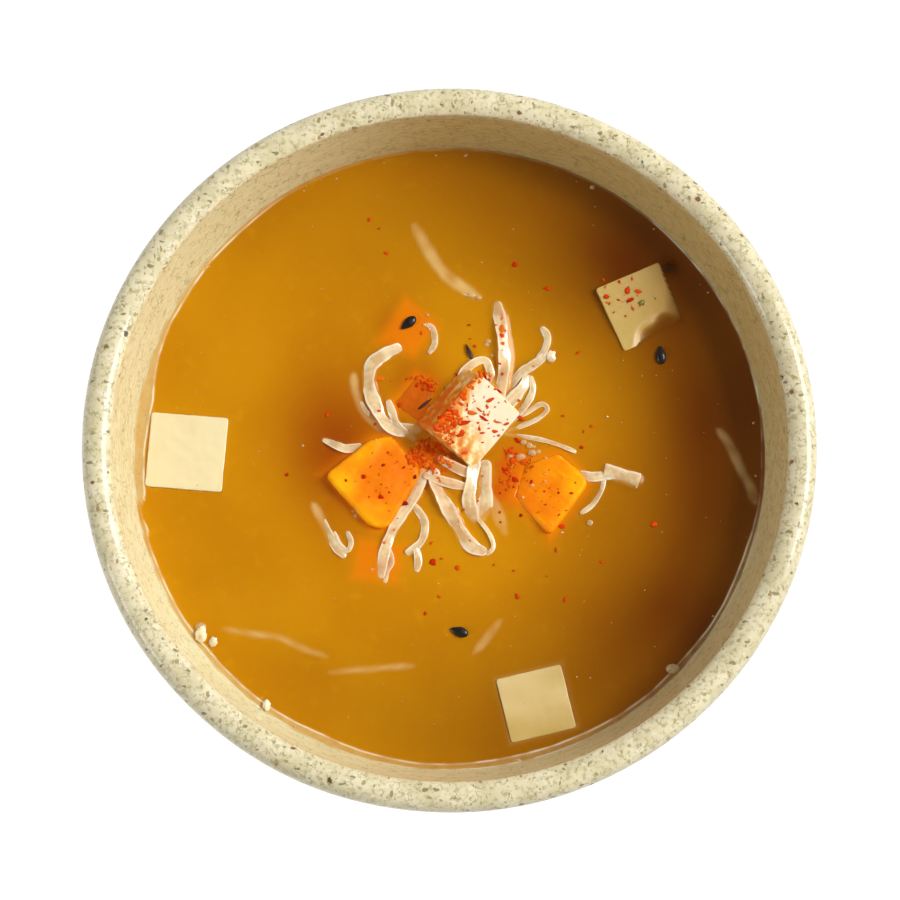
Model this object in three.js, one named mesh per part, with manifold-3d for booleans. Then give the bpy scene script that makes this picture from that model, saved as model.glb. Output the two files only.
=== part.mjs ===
// A stoneware bowl of miso soup, in millimetres, +Z up, with its origin at the bowl's bottom centre.
// The broth stands below the rim. Tofu and squash dice sit in it, round a tangle of leek shreds.
import * as THREE from "three";
import { mergeVertices } from "three/addons/utils/BufferGeometryUtils.js";
import Module from "manifold-3d";

const wasm = await Module();
wasm.setup();

// Bowl
const BOWL_HEIGHT = 64;
const RIM_RADIUS = 64; // outside
const RIM_INNER_RADIUS = 58.7;
const RIM_OUTER_DROP = 2.8; // from the crown down to where the outer wall starts
const RIM_INNER_DROP = 1.6;
const FOOT_RADIUS = 30;
const FOOT_WIDTH = 5;
const FOOT_HEIGHT = 5;
const FOOT_EDGE = 0.7;
const FLOOR_TOP = 9.5; // inside, at the centre
const TURN_STEPS = 50; // facets round the bowl and the broth
const WALL_STEPS = 9; // facets up each wall

// Broth
const FILL_DEPTH = 12.9; // from the rim's crown down to the broth
const SOUP_LEVEL = BOWL_HEIGHT - FILL_DEPTH;
const SOUP_RADIUS = 55.65;

// Fits
const GAP = 0.3; // between pieces that touch

// Dice
const TOFU_CORNER = 0.5;
const SQUASH_CORNER = 1.9;
const BEVEL_STEPS = 2;

// Shreds
const STRIP_THICKNESS = 0.9;
const STRIP_EDGE_THINNING = 0.6; // how much of the thickness is gone at half a width from the middle
const STRIP_STEP_LENGTH = 2.4;
const STRIP_LEAST_STEPS = 4;

// Toppings
const SEED = { length: 3.3, width: 1.8, height: 1.1 };
const SEED_NARROWING = 0.5;
const FLAKE_THICKNESS = 0.5;
const FLAKE_LEAST_WIDTH = 0.5; // over its length
const FLAKE_MOST_WIDTH = 0.9;
const FLAKE_LIFT = 0.05; // of the floating flakes' middles over the broth

const paint = {
  stoneware: { color: 0xded5b4, roughness: 0.45 },
  broth: { color: 0xb87a10, roughness: 0.12 },
  tofu: { color: 0xf3e3b8, roughness: 0.5 },
  squash: { color: 0xf59a08, roughness: 0.4 },
  shreds: { color: 0xe2cf9c, roughness: 0.35 },
};

// ---- joining and cutting ----

/** The closed geometry as a solid that can be joined to others and cut. */
function solid(geometry) {
  const bare = geometry.clone();
  bare.deleteAttribute("normal");
  bare.deleteAttribute("uv");
  const merged = mergeVertices(bare, 1e-4);
  return new wasm.Manifold(
    new wasm.Mesh({
      numProp: 3,
      vertProperties: merged.attributes.position.array,
      triVerts: new Uint32Array(merged.index.array),
    }),
  );
}

/** The solids joined into one. */
function join(solids) {
  return solids.reduce((whole, piece) => whole.add(piece));
}

/** The solid less each of the cutters, with only its largest body kept. */
function cut(whole, cutters) {
  const bodies = cutters.reduce((rest, cutter) => rest.subtract(cutter), whole).decompose();
  return bodies.reduce((largest, body) => (body.volume() > largest.volume() ? body : largest));
}

/** The solid as a mesh of the group, under its node's name. */
function mesh(name, body, look) {
  const { vertProperties, triVerts } = body.getMesh();
  const geometry = new THREE.BufferGeometry();
  geometry.setAttribute("position", new THREE.BufferAttribute(vertProperties, 3));
  geometry.setIndex(new THREE.BufferAttribute(triVerts, 1));
  const faceted = geometry.toNonIndexed();
  faceted.computeVertexNormals();
  const made = new THREE.Mesh(faceted, new THREE.MeshStandardMaterial({ metalness: 0, ...look }));
  made.name = name;
  return made;
}

/** Numbers from 0 to 1 that are the same in each run. */
function seeded(seed) {
  let state = seed;
  return () => {
    state = (state * 1664525 + 1013904223) % 4294967296;
    return state / 4294967296;
  };
}

// ---- bowl and broth ----

/** The inner wall from the floor's centre to the rim's inner edge, moved `inset` into the hollow. */
function innerWall(inset) {
  const points = [
    [24, 11],
    [39, 17.5],
    [48.5, 28.5],
    [53.2, 40.5],
    [SOUP_RADIUS, SOUP_LEVEL],
    [RIM_INNER_RADIUS, BOWL_HEIGHT - RIM_INNER_DROP],
  ].map(([radius, height]) => new THREE.Vector2(radius - inset, height + inset));
  return new THREE.SplineCurve([new THREE.Vector2(0, FLOOR_TOP + inset), ...points]);
}

/** A body turned round the upright axis from a profile of radius and height. */
function turned(profile) {
  return new THREE.LatheGeometry(profile, TURN_STEPS).rotateX(Math.PI / 2);
}

function bowlSolid() {
  const foot = [
    [0, FOOT_HEIGHT],
    [FOOT_RADIUS - FOOT_WIDTH - FOOT_EDGE, FOOT_HEIGHT],
    [FOOT_RADIUS - FOOT_WIDTH, FOOT_EDGE],
    [FOOT_RADIUS - FOOT_WIDTH + FOOT_EDGE, 0],
    [FOOT_RADIUS - FOOT_EDGE, 0],
    [FOOT_RADIUS, FOOT_EDGE],
  ].map(([radius, height]) => new THREE.Vector2(radius, height));
  const outerWall = new THREE.SplineCurve(
    [
      [FOOT_RADIUS, FOOT_HEIGHT - FOOT_EDGE],
      [44, 10.5],
      [54.5, 23.5],
      [59.8, 38.5],
      [62.4, 51],
      [RIM_RADIUS, BOWL_HEIGHT - RIM_OUTER_DROP],
    ].map(([radius, height]) => new THREE.Vector2(radius, height)),
  ).getPoints(WALL_STEPS);
  const crownRadius = (RIM_RADIUS + RIM_INNER_RADIUS) / 2;
  const crownSteps = 6;
  const crown = [];
  for (let i = 1; i < crownSteps; i++) {
    const angle = (Math.PI * i) / crownSteps;
    const drop = RIM_OUTER_DROP + ((RIM_INNER_DROP - RIM_OUTER_DROP) * i) / crownSteps;
    crown.push(
      new THREE.Vector2(
        crownRadius + (RIM_RADIUS - crownRadius) * Math.cos(angle),
        BOWL_HEIGHT - drop * (1 - Math.sin(angle)),
      ),
    );
  }
  const inside = innerWall(0).getPoints(WALL_STEPS).reverse();
  return solid(turned([...foot, ...outerWall, ...crown, ...inside]));
}

function brothSolid() {
  const edgeDrop = 1; // the side stops this far under the edge
  const underTheSurface = (point) => point.y < SOUP_LEVEL - edgeDrop;
  const side = innerWall(GAP).getPoints(WALL_STEPS).filter(underTheSurface);
  const edge = new THREE.Vector2(SOUP_RADIUS - GAP, SOUP_LEVEL);
  const middle = new THREE.Vector2(0, SOUP_LEVEL);
  return solid(turned([...side, edge, middle]));
}

// ---- dice ----

/** The outline through `corners`, each rounded off over `round` or a part of a short side. */
function roundedOutline(corners, round) {
  const shape = new THREE.Shape();
  const sideShare = 0.4; // of a side that one corner's rounding may take
  const towards = (from, to) => {
    const side = to.clone().sub(from);
    return from.clone().add(side.setLength(Math.min(round, sideShare * side.length())));
  };
  corners.forEach((corner, i) => {
    const before = corners[(i + corners.length - 1) % corners.length];
    const after = corners[(i + 1) % corners.length];
    const enter = towards(corner, before);
    const leave = towards(corner, after);
    if (i === 0) shape.moveTo(enter.x, enter.y);
    else shape.lineTo(enter.x, enter.y);
    shape.quadraticCurveTo(corner.x, corner.y, leave.x, leave.y);
  });
  shape.closePath();
  return shape;
}

/** A rectangle's corners about the origin, anticlockwise. */
function rectangle(length, width) {
  return [
    [-length / 2, -width / 2],
    [length / 2, -width / 2],
    [length / 2, width / 2],
    [-length / 2, width / 2],
  ];
}

/** A die with its top's centre at `top`, turned about Z and tilted about its own X and Y, in degrees. */
class Die {
  constructor({ outline, depth, corner, top, turn = 0, tilt = [0, 0] }) {
    Object.assign(this, { outline, depth, corner });
    this.place = new THREE.Matrix4()
      .makeTranslation(top[0], top[1], SOUP_LEVEL + top[2])
      .multiply(new THREE.Matrix4().makeRotationZ(THREE.MathUtils.degToRad(turn)))
      .multiply(new THREE.Matrix4().makeRotationX(THREE.MathUtils.degToRad(tilt[0])))
      .multiply(new THREE.Matrix4().makeRotationY(THREE.MathUtils.degToRad(tilt[1])));
  }

  /** The die as a solid, each face moved out by `grow`. */
  body(grow = 0) {
    const corners = this.outline.map(([x, y]) => new THREE.Vector2(x, y));
    const bevel = this.corner / 2;
    const geometry = new THREE.ExtrudeGeometry(roundedOutline(corners, this.corner), {
      depth: this.depth - 2 * bevel,
      bevelThickness: bevel,
      bevelSize: bevel,
      bevelOffset: grow - bevel,
      bevelSegments: BEVEL_STEPS,
      curveSegments: BEVEL_STEPS,
    });
    geometry.translate(0, 0, bevel - this.depth);
    geometry.scale(1, 1, 1 + (2 * grow) / this.depth).translate(0, 0, grow);
    return solid(geometry.applyMatrix4(this.place));
  }

  /** The die with chili flakes on its top face, each a place and a size there. */
  topped(spots, random) {
    const flakes = spots.map(([x, y, size]) =>
      flakeSolid(size, random).transform(
        this.place.clone().multiply(new THREE.Matrix4().makeTranslation(x, y, 0)).toArray(),
      ),
    );
    return join([this.body(), ...flakes]);
  }
}

// ---- toppings ----

/** A chili flake about the origin: a flat eight-sided chip, turned at random. */
function flakeSolid(size, random) {
  const width = size * THREE.MathUtils.lerp(FLAKE_LEAST_WIDTH, FLAKE_MOST_WIDTH, random());
  const chip = new THREE.OctahedronGeometry(0.5).scale(size, width, FLAKE_THICKNESS);
  return solid(chip.rotateZ(Math.PI * random()));
}

/** A sesame seed lying at a height over the broth: an egg with its narrow end along its turn. */
function seedSolid([x, y, height], turn, slim = 1) {
  const egg = new THREE.SphereGeometry(0.5, 7, 4).rotateZ(Math.PI / 2);
  const position = egg.attributes.position;
  for (let i = 0; i < position.count; i++) {
    const narrow = 1 - SEED_NARROWING * Math.max(0, position.getX(i));
    position.setXYZ(i, position.getX(i), position.getY(i) * narrow, position.getZ(i) * narrow);
  }
  egg.scale(SEED.length, SEED.width * slim, SEED.height).rotateZ(THREE.MathUtils.degToRad(turn));
  return solid(egg.translate(x, y, SOUP_LEVEL + height));
}

/** Spots spread at random over an oval of a die's face, each with a size between the two given. */
function scatter(count, centre, reach, sizes, random) {
  return Array.from({ length: count }, () => {
    const angle = 2 * Math.PI * random();
    const share = Math.sqrt(random());
    return [
      centre[0] + reach[0] * share * Math.cos(angle),
      centre[1] + reach[1] * share * Math.sin(angle),
      sizes[0] + (sizes[1] - sizes[0]) * random() ** 2,
    ];
  });
}

// ---- shreds ----

/** A flat strip along a smooth curve through `route`, given as x, y and height over the broth. */
class Strip {
  constructor(width, route, endShare = 0.6) {
    this.width = width;
    this.endShare = endShare;
    this.curve = new THREE.CatmullRomCurve3(
      route.map(([x, y, height]) => new THREE.Vector3(x, y, SOUP_LEVEL + height)),
      false,
      "centripetal",
    );
  }

  /** The strip as a solid: a box bent along the curve, thinner at its edges, narrower at its ends. */
  body(grow = 0) {
    const length = this.curve.getLength();
    const steps = Math.max(STRIP_LEAST_STEPS, Math.round(length / STRIP_STEP_LENGTH));
    const endFace = 0.5 / steps;
    const box = new THREE.BoxGeometry(1, 1, 1, steps, grow > 0 ? 1 : 2, 1);
    const position = box.attributes.position;
    const up = new THREE.Vector3(0, 0, 1);
    for (let i = 0; i < position.count; i++) {
      const along = position.getX(i) + 0.5;
      const across = position.getY(i);
      const through = position.getZ(i);
      const point = this.curve.getPointAt(along);
      const tangent = this.curve.getTangentAt(along);
      const side = up.clone().cross(tangent).normalize();
      const lift = tangent.clone().cross(side);
      const fromEnd = Math.min(1, (Math.min(along, 1 - along) * length) / this.width);
      const width = this.width * (this.endShare + (1 - this.endShare) * fromEnd) + 2 * grow;
      const thickness = (STRIP_THICKNESS + 2 * grow) * (1 - STRIP_EDGE_THINNING * Math.abs(across));
      const endwards = along < endFace ? -1 : along > 1 - endFace ? 1 : 0;
      point.addScaledVector(tangent, 2 * grow * endwards);
      point.addScaledVector(side, across * width).addScaledVector(lift, through * thickness);
      position.setXYZ(i, point.x, point.y, point.z);
    }
    return solid(box);
  }
}

// ---- the pieces, with x and y from the bowl's centre and heights over the broth ----

const dice = {
  tofu_left: new Die({
    outline: rectangle(13.6, 13.3),
    depth: 6,
    corner: TOFU_CORNER,
    top: [-46.4, 0.4, 0.4],
    turn: -4.6,
  }),
  tofu_right: new Die({
    outline: rectangle(12.5, 12.3),
    depth: 11,
    corner: TOFU_CORNER,
    top: [34.2, 26.7, 0.2],
    turn: 24.1,
    tilt: [3, 5],
  }),
  tofu_front: new Die({
    outline: rectangle(11.6, 11.4),
    depth: 8,
    corner: TOFU_CORNER,
    top: [15.1, -44.1, 0.3],
    turn: 13.6,
  }),
  tofu_centre: new Die({
    outline: rectangle(13, 11.2),
    depth: 10.5,
    corner: TOFU_CORNER,
    top: [4.7, 5.4, 3.3],
    turn: 50,
    tilt: [30, 0],
  }),
  squash_left: new Die({
    outline: [
      [-9.9, 0.2],
      [-1.9, -9.1],
      [1.3, -9.3],
      [7, 0.8],
      [1.7, 7.4],
      [-2, 6.5],
    ],
    depth: 9,
    corner: SQUASH_CORNER,
    top: [-12, -4, 1.4],
    tilt: [0, 3],
  }),
  squash_right: new Die({
    outline: [
      [-7.1, -1.1],
      [-0.7, -8.2],
      [6.4, 1.3],
      [1.2, 6.9],
      [-5.4, 5.2],
    ],
    depth: 9,
    corner: SQUASH_CORNER,
    top: [18.2, -6.4, 0.7],
    tilt: [-6, -7],
  }),
  squash_centre: new Die({
    outline: [
      [-4.2, -1.6],
      [1.1, -5.1],
      [3.1, 1.6],
      [0, 3.4],
    ],
    depth: 5,
    corner: SQUASH_CORNER / 2,
    top: [-5.9, 10.6, 0.2],
    tilt: [0, -3],
  }),
};

/** The tangle's middle, as a flat dome that rises a little out of the broth. */
const tangleCore = { centre: [1, 1.5, -3.6], reach: [13, 12, 4], around: 16, down: 6 };

function coreSolid(grow = 0) {
  const dome = new THREE.SphereGeometry(1, tangleCore.around, tangleCore.down).rotateX(Math.PI / 2);
  const [x, y, height] = tangleCore.centre;
  dome.scale(...tangleCore.reach.map((reach) => reach + grow));
  return solid(dome.translate(x, y, SOUP_LEVEL + height));
}

// Shreds that start in the tangle.
const tangleStrips = [
  // left, curling round to the back
  new Strip(2.4, [
    [-8.5, 19.4, 0.2], [-11.5, 18, 0.5], [-14, 15.5, 0.6], [-13.9, 10.8, 0.6], [-10.6, 5, 0.3],
    [-5, 4.5, -0.6],
  ]),
  new Strip(1.6, [
    [-17, 14.7, -0.1], [-16.6, 11.1, 0.2], [-15, 7.5, 0.2], [-11.6, 4.6, -0.1],
    [-6, 3.6, -0.8],
  ]),
  new Strip(1.4, [[-10.9, 9.8, 0.4], [-10.1, 7.5, 0.5], [-9.2, 5.2, 0.2], [-6, 2.6, -0.6]]),
  // back
  new Strip(1.5, [
    [1.6, 12.6, -0.6], [2.4, 14.6, 0.6], [4.4, 16.4, 1], [6.3, 16.8, 0.9], [7.2, 14.8, 0.4],
    [7.6, 11, -0.8],
  ]),
  new Strip(2.1, [
    [8.5, 27.6, 0.4], [9.2, 22.5, 0.9], [9.7, 17, 1.2], [9.3, 12.6, 0.7], [8.4, 8.6, -0.7],
  ]),
  new Strip(1.6, [
    [17.4, 18.4, 0.3], [16, 16.9, 0.5], [14.3, 15.7, 0.7], [12.2, 14.2, 0.4], [9, 9.5, -0.9],
  ]),
  new Strip(1.3, [[16.3, 23, 0.3], [17.4, 21.2, 0.5], [17, 19, 0.5], [15.2, 16.4, 0.4]]),
  // right
  new Strip(2.2, [[13.7, 14.6, 0.1], [13.4, 12.6, 0.5], [11.8, 10.6, 0.6], [9, 7.5, -0.4]]),
  new Strip(1.2, [[14.4, 14.2, 0.1], [14.7, 11.4, 0.4], [13.2, 8.4, 0.4], [10, 5, -0.5]]),
  new Strip(0.9, [
    [10.2, 4.2, -0.4], [15.2, 6.1, 0.3], [17.3, 8, 0.4], [16.2, 9, 0.4], [13.4, 7.3, 0.3],
    [10.4, 6, -0.3],
  ]),
  new Strip(0.8, [[9.5, 3.8, -0.5], [15.4, 2.8, 0.2], [19.2, 1.7, 0.3], [22.4, 0.4, 0.1]]),
  // front
  new Strip(2.4, [
    [-3, -2.5, 0.3], [-2, -6.4, 0.8], [0.9, -11.8, 0.6], [3.7, -16.2, 0.4], [6.6, -17.6, 0.2],
  ]),
  new Strip(0.8, [[4.8, -11.2, 0.1], [7, -14.2, 0.5], [7.7, -16.6, 0.4], [6.4, -18, 0.2]]),
  new Strip(2.4, [[4.6, -0.5, 0.7], [4, -4.6, 0.7], [3.4, -8.2, 0.5], [4.6, -12, 0]]),
  new Strip(2.6, [[6.3, -1, 0.5], [6.3, -5.8, 0.1], [6.2, -9.4, -0.1], [5.2, -12.3, -0.3]]),
  new Strip(1.7, [[-4.6, -3.6, 0.6], [-1.1, -4.9, 0.9], [3.4, -5.9, 0.5]]),
  new Strip(1.8, [[-2, -0.6, 0.8], [1.1, -2.4, 0.9], [4, -3.8, 0.6]]),
  // front left
  new Strip(1.9, [
    [-4.4, -2.6, 0], [-6, -7.4, 0.4], [-9.2, -12, 0.4], [-11.3, -17, 0.3], [-12, -22.1, 0.1],
  ]),
  new Strip(1.4, [[-6.4, -8.8, 0.3], [-4.4, -12, 0.3], [-4.9, -15.4, 0.3], [-7.7, -17.8, 0.1]]),
  new Strip(1.3, [[-5.9, -16.4, 0.2], [-5.5, -18.8, 0.2], [-5.7, -21, 0.1]]),
  new Strip(0.9, [
    [-10.6, -16.8, 0.2], [-10.1, -19.3, 0.3], [-10.9, -20.8, 0.2], [-11.3, -22.9, 0],
  ]),
];

// Buds: one on the right-hand twig of the tangle, and one afloat by the wall.
const twigBud = { at: [18, 17.6, 0.3], radius: 0.9 };
const wallBud = { at: [-43.2, -32.4, 0.1], radius: 0.9 };

function budSolid({ at: [x, y, height], radius }, grow = 0) {
  return solid(new THREE.IcosahedronGeometry(radius + grow, 1).translate(x, y, SOUP_LEVEL + height));
}

// Shreds that lie apart, each of one or two strips.
const looseShreds = {
  shred_left: [
    new Strip(1.6, [
      [-24.1, -8.6, -0.1], [-22, -12.6, 0.2], [-20, -16.3, 0.2], [-18.3, -18.4, 0.1],
    ]),
    new Strip(0.9, [
      [-20.4, -13.8, 0.1], [-19.3, -16, 0.4], [-17.9, -17.2, 0.4], [-17.3, -15.6, 0.3],
      [-18, -13.7, 0.1],
    ]),
  ],
  shred_far_left: [
    new Strip(1.5, [
      [-22.4, 2.8, -0.1], [-20, 1.6, 0.2], [-18.1, 1, 0.2], [-15.4, 1.6, 0],
    ]),
  ],
  shred_back: [
    new Strip(1.1, [
      [-4, 23.6, 0], [-2.9, 22.5, 0.2], [-2.6, 20, 0.3], [-3.7, 18.1, 0.1],
    ]),
  ],
  shred_right: [
    new Strip(2.3, [
      [24.8, -3.6, 0], [26.6, -3.5, 0.5], [28.2, -3.3, 0.7], [33.2, -4.9, 0.8],
    ], 0.95),
    new Strip(0.9, [[27.3, -3.2, 0.3], [26.9, -6.2, 0.3], [25.2, -9, 0.3], [23, -10.6, 0.1]]),
  ],
};

// Flakes that float alone: x, y and size.
const floatingFlakes = [
  [-14.3, 42.6, 0.9], [-12.6, 41, 0.6], [-11.3, 36.4, 1], [11.7, 34.4, 1.3], [17.4, 30, 1.4],
  [23.1, 18.7, 1.2], [20.2, 7, 1], [25.2, 5, 0.9], [23.4, 1.2, 1.2], [-21.7, 7.1, 1.1],
  [-28.6, -3.6, 1], [35.9, -12.5, 1.6], [26.7, -19.2, 0.8], [20.2, -25.9, 1.6], [16.9, -21.6, 0.7],
  [12.1, -25.1, 1.2], [-2.9, -19.1, 1.7], [-1.2, -18.3, 0.8], [1.4, -20.2, 1.3], [-1.8, -25.1, 0.9],
  [-4.3, -28.3, 0.8], [-2.4, -15.4, 0.9], [18.6, -17, 0.8], [3.6, 23.6, 0.8], [3.8, 21.1, 0.7],
  [27.4, 31.6, 1.1],
];

// Flakes on the tangle: x, y, height and size. Six lie along its tall back strip, four left of its middle.
const tangleFlakes = [
  [8.7, 25.6, 1.1, 0.9], [9.1, 23.6, 1.25, 1.2], [9.3, 21.9, 1.4, 1.5], [9.5, 20.2, 1.5, 1.1],
  [9.7, 18.2, 1.6, 1.3], [9.6, 15.4, 1.5, 0.8],
  [-1.4, -1, 1.25, 1.3], [-3.9, -3.8, 1.1, 1.1], [-2, -4.6, 1.25, 0.9], [0.6, -2.1, 1.35, 1.2],
];

// Chili on the dice: for each, spots spread over ovals of its top face.
const chili = {
  tofu_right: (random) => [
    ...scatter(9, [-0.6, 2.4], [2.8, 2.2], [0.7, 1.5], random),
    ...scatter(4, [-3.2, 1.6], [1.6, 3], [0.6, 1], random),
  ],
  tofu_centre: (random) => [
    ...scatter(18, [-1, 2.2], [4.6, 2.6], [0.8, 2.1], random),
    ...scatter(9, [1.6, -1.2], [3.8, 3.2], [0.7, 1.7], random),
  ],
  squash_left: (random) => scatter(12, [0.4, -0.6], [5, 5.4], [0.6, 1.4], random),
  squash_right: (random) => scatter(12, [0.2, -0.4], [4.4, 4.4], [0.6, 1.4], random),
  squash_centre: (random) => scatter(4, [-0.6, 0.6], [1.6, 1.6], [0.7, 1.2], random),
};

// ---- the nodes ----

const random = seeded(7);
const part = new THREE.Group();
part.name = "miso_soup";
part.add(mesh("bowl", bowlSolid(), paint.stoneware));

// Each die is cut back from the dice named before it.
const order = [
  "tofu_centre",
  "squash_left",
  "squash_right",
  "squash_centre",
  "tofu_left",
  "tofu_right",
  "tofu_front",
];
const diceRoom = [];
for (const name of order) {
  const die = dice[name];
  let whole = die.topped(chili[name] ? chili[name](random) : [], random);
  if (name === "tofu_centre") whole = whole.add(seedSolid([-1.9, 7, 5.6], 40, 0.6));
  part.add(mesh(name, cut(whole, diceRoom), name.startsWith("tofu") ? paint.tofu : paint.squash));
  diceRoom.push(die.body(GAP));
}

const tangle = join([
  coreSolid(),
  budSolid(twigBud),
  ...tangleStrips.map((strip) => strip.body()),
  ...tangleFlakes.map(([x, y, height, size]) =>
    flakeSolid(size, random).translate(x, y, SOUP_LEVEL + height),
  ),
]);
part.add(mesh("shreds", cut(tangle, diceRoom), paint.shreds));
const shredRoom = [
  coreSolid(GAP),
  budSolid(twigBud, GAP),
  ...tangleStrips.map((strip) => strip.body(GAP)),
];

for (const [name, strips] of Object.entries(looseShreds)) {
  const whole = join(strips.map((strip) => strip.body()));
  part.add(mesh(name, cut(whole, [...diceRoom, ...shredRoom]), paint.shreds));
}
for (const strips of Object.values(looseShreds)) {
  shredRoom.push(...strips.map((strip) => strip.body(GAP)));
}

const flakesAfloat = floatingFlakes.map(([x, y, size]) =>
  flakeSolid(size, random).translate(x, y, SOUP_LEVEL + FLAKE_LIFT),
);
const seedsAfloat = [
  seedSolid([-7.3, 23.7, 0.25], 220),
  seedSolid([37.5, 17.9, 0.25], 95),
  seedSolid([1.7, -31.5, 0.25], 162),
  seedSolid([3.5, 18.6, 0.3], 108, 0.6),
];
const topped = join([brothSolid(), budSolid(wallBud), ...flakesAfloat, ...seedsAfloat]);
part.add(mesh("broth", cut(topped, [...diceRoom, ...shredRoom]), paint.broth));

export default part;
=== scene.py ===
"""A stoneware bowl of miso soup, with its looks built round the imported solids.

Lengths in the tables below are millimetres from the bowl's bottom centre, and heights of the food are
heights over the broth. Meshes are made in metres. Every new piece is a closed surface worked out with numpy
as a grid of rows by columns, whose first and last rows each shrink to one point.
"""
import math

import bpy
import numpy as np
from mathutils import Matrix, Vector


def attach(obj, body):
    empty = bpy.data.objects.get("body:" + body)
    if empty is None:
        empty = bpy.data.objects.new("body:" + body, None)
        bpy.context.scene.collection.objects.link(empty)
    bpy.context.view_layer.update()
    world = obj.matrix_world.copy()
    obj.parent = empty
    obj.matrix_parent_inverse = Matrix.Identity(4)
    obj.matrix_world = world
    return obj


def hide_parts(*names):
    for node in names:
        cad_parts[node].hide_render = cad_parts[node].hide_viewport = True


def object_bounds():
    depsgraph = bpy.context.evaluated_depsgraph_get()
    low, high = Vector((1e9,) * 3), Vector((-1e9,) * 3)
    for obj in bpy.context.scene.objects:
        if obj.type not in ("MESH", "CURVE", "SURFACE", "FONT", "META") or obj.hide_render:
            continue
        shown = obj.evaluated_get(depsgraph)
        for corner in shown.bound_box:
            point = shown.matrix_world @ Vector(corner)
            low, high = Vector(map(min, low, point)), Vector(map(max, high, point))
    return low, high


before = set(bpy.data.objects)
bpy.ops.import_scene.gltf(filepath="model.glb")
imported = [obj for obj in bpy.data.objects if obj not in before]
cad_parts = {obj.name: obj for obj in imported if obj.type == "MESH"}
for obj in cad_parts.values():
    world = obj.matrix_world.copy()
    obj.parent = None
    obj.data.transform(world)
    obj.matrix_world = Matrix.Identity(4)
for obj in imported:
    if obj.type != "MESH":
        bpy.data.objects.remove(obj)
cad_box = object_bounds()

MM = 0.001
TAU = 2 * math.pi

# ---- sizes, from the frame and the bowl's drawing ----

RIM_RADIUS = cad_box[1].x / MM
BOWL_HEIGHT = cad_box[1].z / MM
RIM_INNER_RADIUS = 58.7
RIM_OUTER_DROP = 2.8
RIM_INNER_DROP = 1.6
FOOT_RADIUS = 30.0
FOOT_WIDTH = 5.0
FOOT_HEIGHT = 5.0
FOOT_EDGE = 0.7
OUTER_WALL = [(44, 10.5), (54.5, 23.5), (59.8, 38.5), (62.4, 51)]
INNER_WALL = [(24, 11), (39, 17.5), (48.5, 28.5), (53.2, 40.5)]
FLOOR_TOP = 9.5
FILL_DEPTH = 12.9
SOUP_LEVEL = BOWL_HEIGHT - FILL_DEPTH
SOUP_RADIUS = 55.65

# how far one sees into the broth, and how high it climbs on what it wets
CLEAR_DEPTH = 1.1
WALL_CLIMB = 0.45
WALL_REACH = 1.0
PIECE_CLIMB = 0.6
PIECE_REACH = 0.6
WET_ABOVE = 0.3

# camera: it looks down steeply from the front
CAMERA_DISTANCE = 620.0
CAMERA_ELEVATION = 79.876
CAMERA_TARGET = (0.088, -1.217, BOWL_HEIGHT - 1.5)
CAMERA_LENS = 143.06
CAMERA_SENSOR = 36.0
CAMERA_CLIP = 0.01

# light: a soft key from the right and a weak fill from the front left, each given as its azimuth, elevation,
# size in metres and power, and a sky that is brighter low down
LIGHTS = {"key": (14, 41, 0.88, 36.3), "fill": (200, 26, 0.6, 8.0)}
LIGHT_DISTANCE = 1.8
LIGHT_AIM_HEIGHT = 0.05
SKY_LOW = (0.6, 0.6, 0.6, 1)
SKY_HIGH = (0.2, 0.2, 0.2, 1)
SKY_FROM, SKY_TO = 0.2, 0.75
FLOOR_HALF = 1.5
FLOOR_GLOW = 0.92


# ---- numbers and curves ----

def lumps(points, size, seed, waves=14):
    """A smooth random field, mostly from -1 to 1.

    It is the sum of plane waves about `size` long in random directions, over 1.4 times the root of their
    number.
    """
    draw = np.random.default_rng(seed)
    directions = draw.normal(size=(waves, 3))
    directions /= np.linalg.norm(directions, axis=1, keepdims=True)
    numbers = TAU / (size * draw.uniform(0.7, 1.5, waves))
    phases = draw.uniform(0, TAU, waves)
    angle = points @ (directions * numbers[:, None]).T + phases
    return np.sin(angle).sum(-1) / math.sqrt(waves) / 1.4


def level_lumps(x, y, size, seed):
    """The same field on the plane at height 0."""
    return lumps(np.stack([x, y, 0 * x], -1), size, seed)


def soft_patch(x, y, centre, reach_x, reach_y=None):
    """1 at the centre and exp(-(distance / reach)^2) round it, with a reach along each axis."""
    return np.exp(-((x - centre[0]) / reach_x) ** 2 - ((y - centre[1]) / (reach_y or reach_x)) ** 2)


def smoothstep(low, high, value):
    """0 below `low`, 1 above `high`, and 3t^2 - 2t^3 between them."""
    t = np.clip((value - low) / (high - low), 0, 1)
    return t * t * (3 - 2 * t)


def spline(points, count):
    """A smooth curve through `points`: between two of them, the cubic whose slopes join their neighbours."""
    p = np.asarray(points, float)
    p = np.vstack([2 * p[0] - p[1], p, 2 * p[-1] - p[-2]])
    place = np.linspace(0, len(p) - 3, count)
    i = np.minimum(place.astype(int), len(p) - 4)
    t = (place - i)[:, None]
    a, b, c, d = p[i], p[i + 1], p[i + 2], p[i + 3]
    return 0.5 * (2 * b + (c - a) * t + (2 * a - 5 * b + 4 * c - d) * t**2 + (3 * b - a - 3 * c + d) * t**3)


def even(curve, count):
    """The curve with `count` points spaced evenly along its length."""
    steps = np.linalg.norm(np.diff(curve, axis=0), axis=1)
    along = np.concatenate([[0], np.cumsum(steps)])
    want = np.linspace(0, along[-1], count)
    return np.stack([np.interp(want, along, curve[:, k]) for k in range(curve.shape[1])], -1)


def unit(vectors):
    """Each vector divided by its length."""
    return vectors / np.maximum(np.linalg.norm(vectors, axis=-1, keepdims=True), 1e-12)


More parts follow.
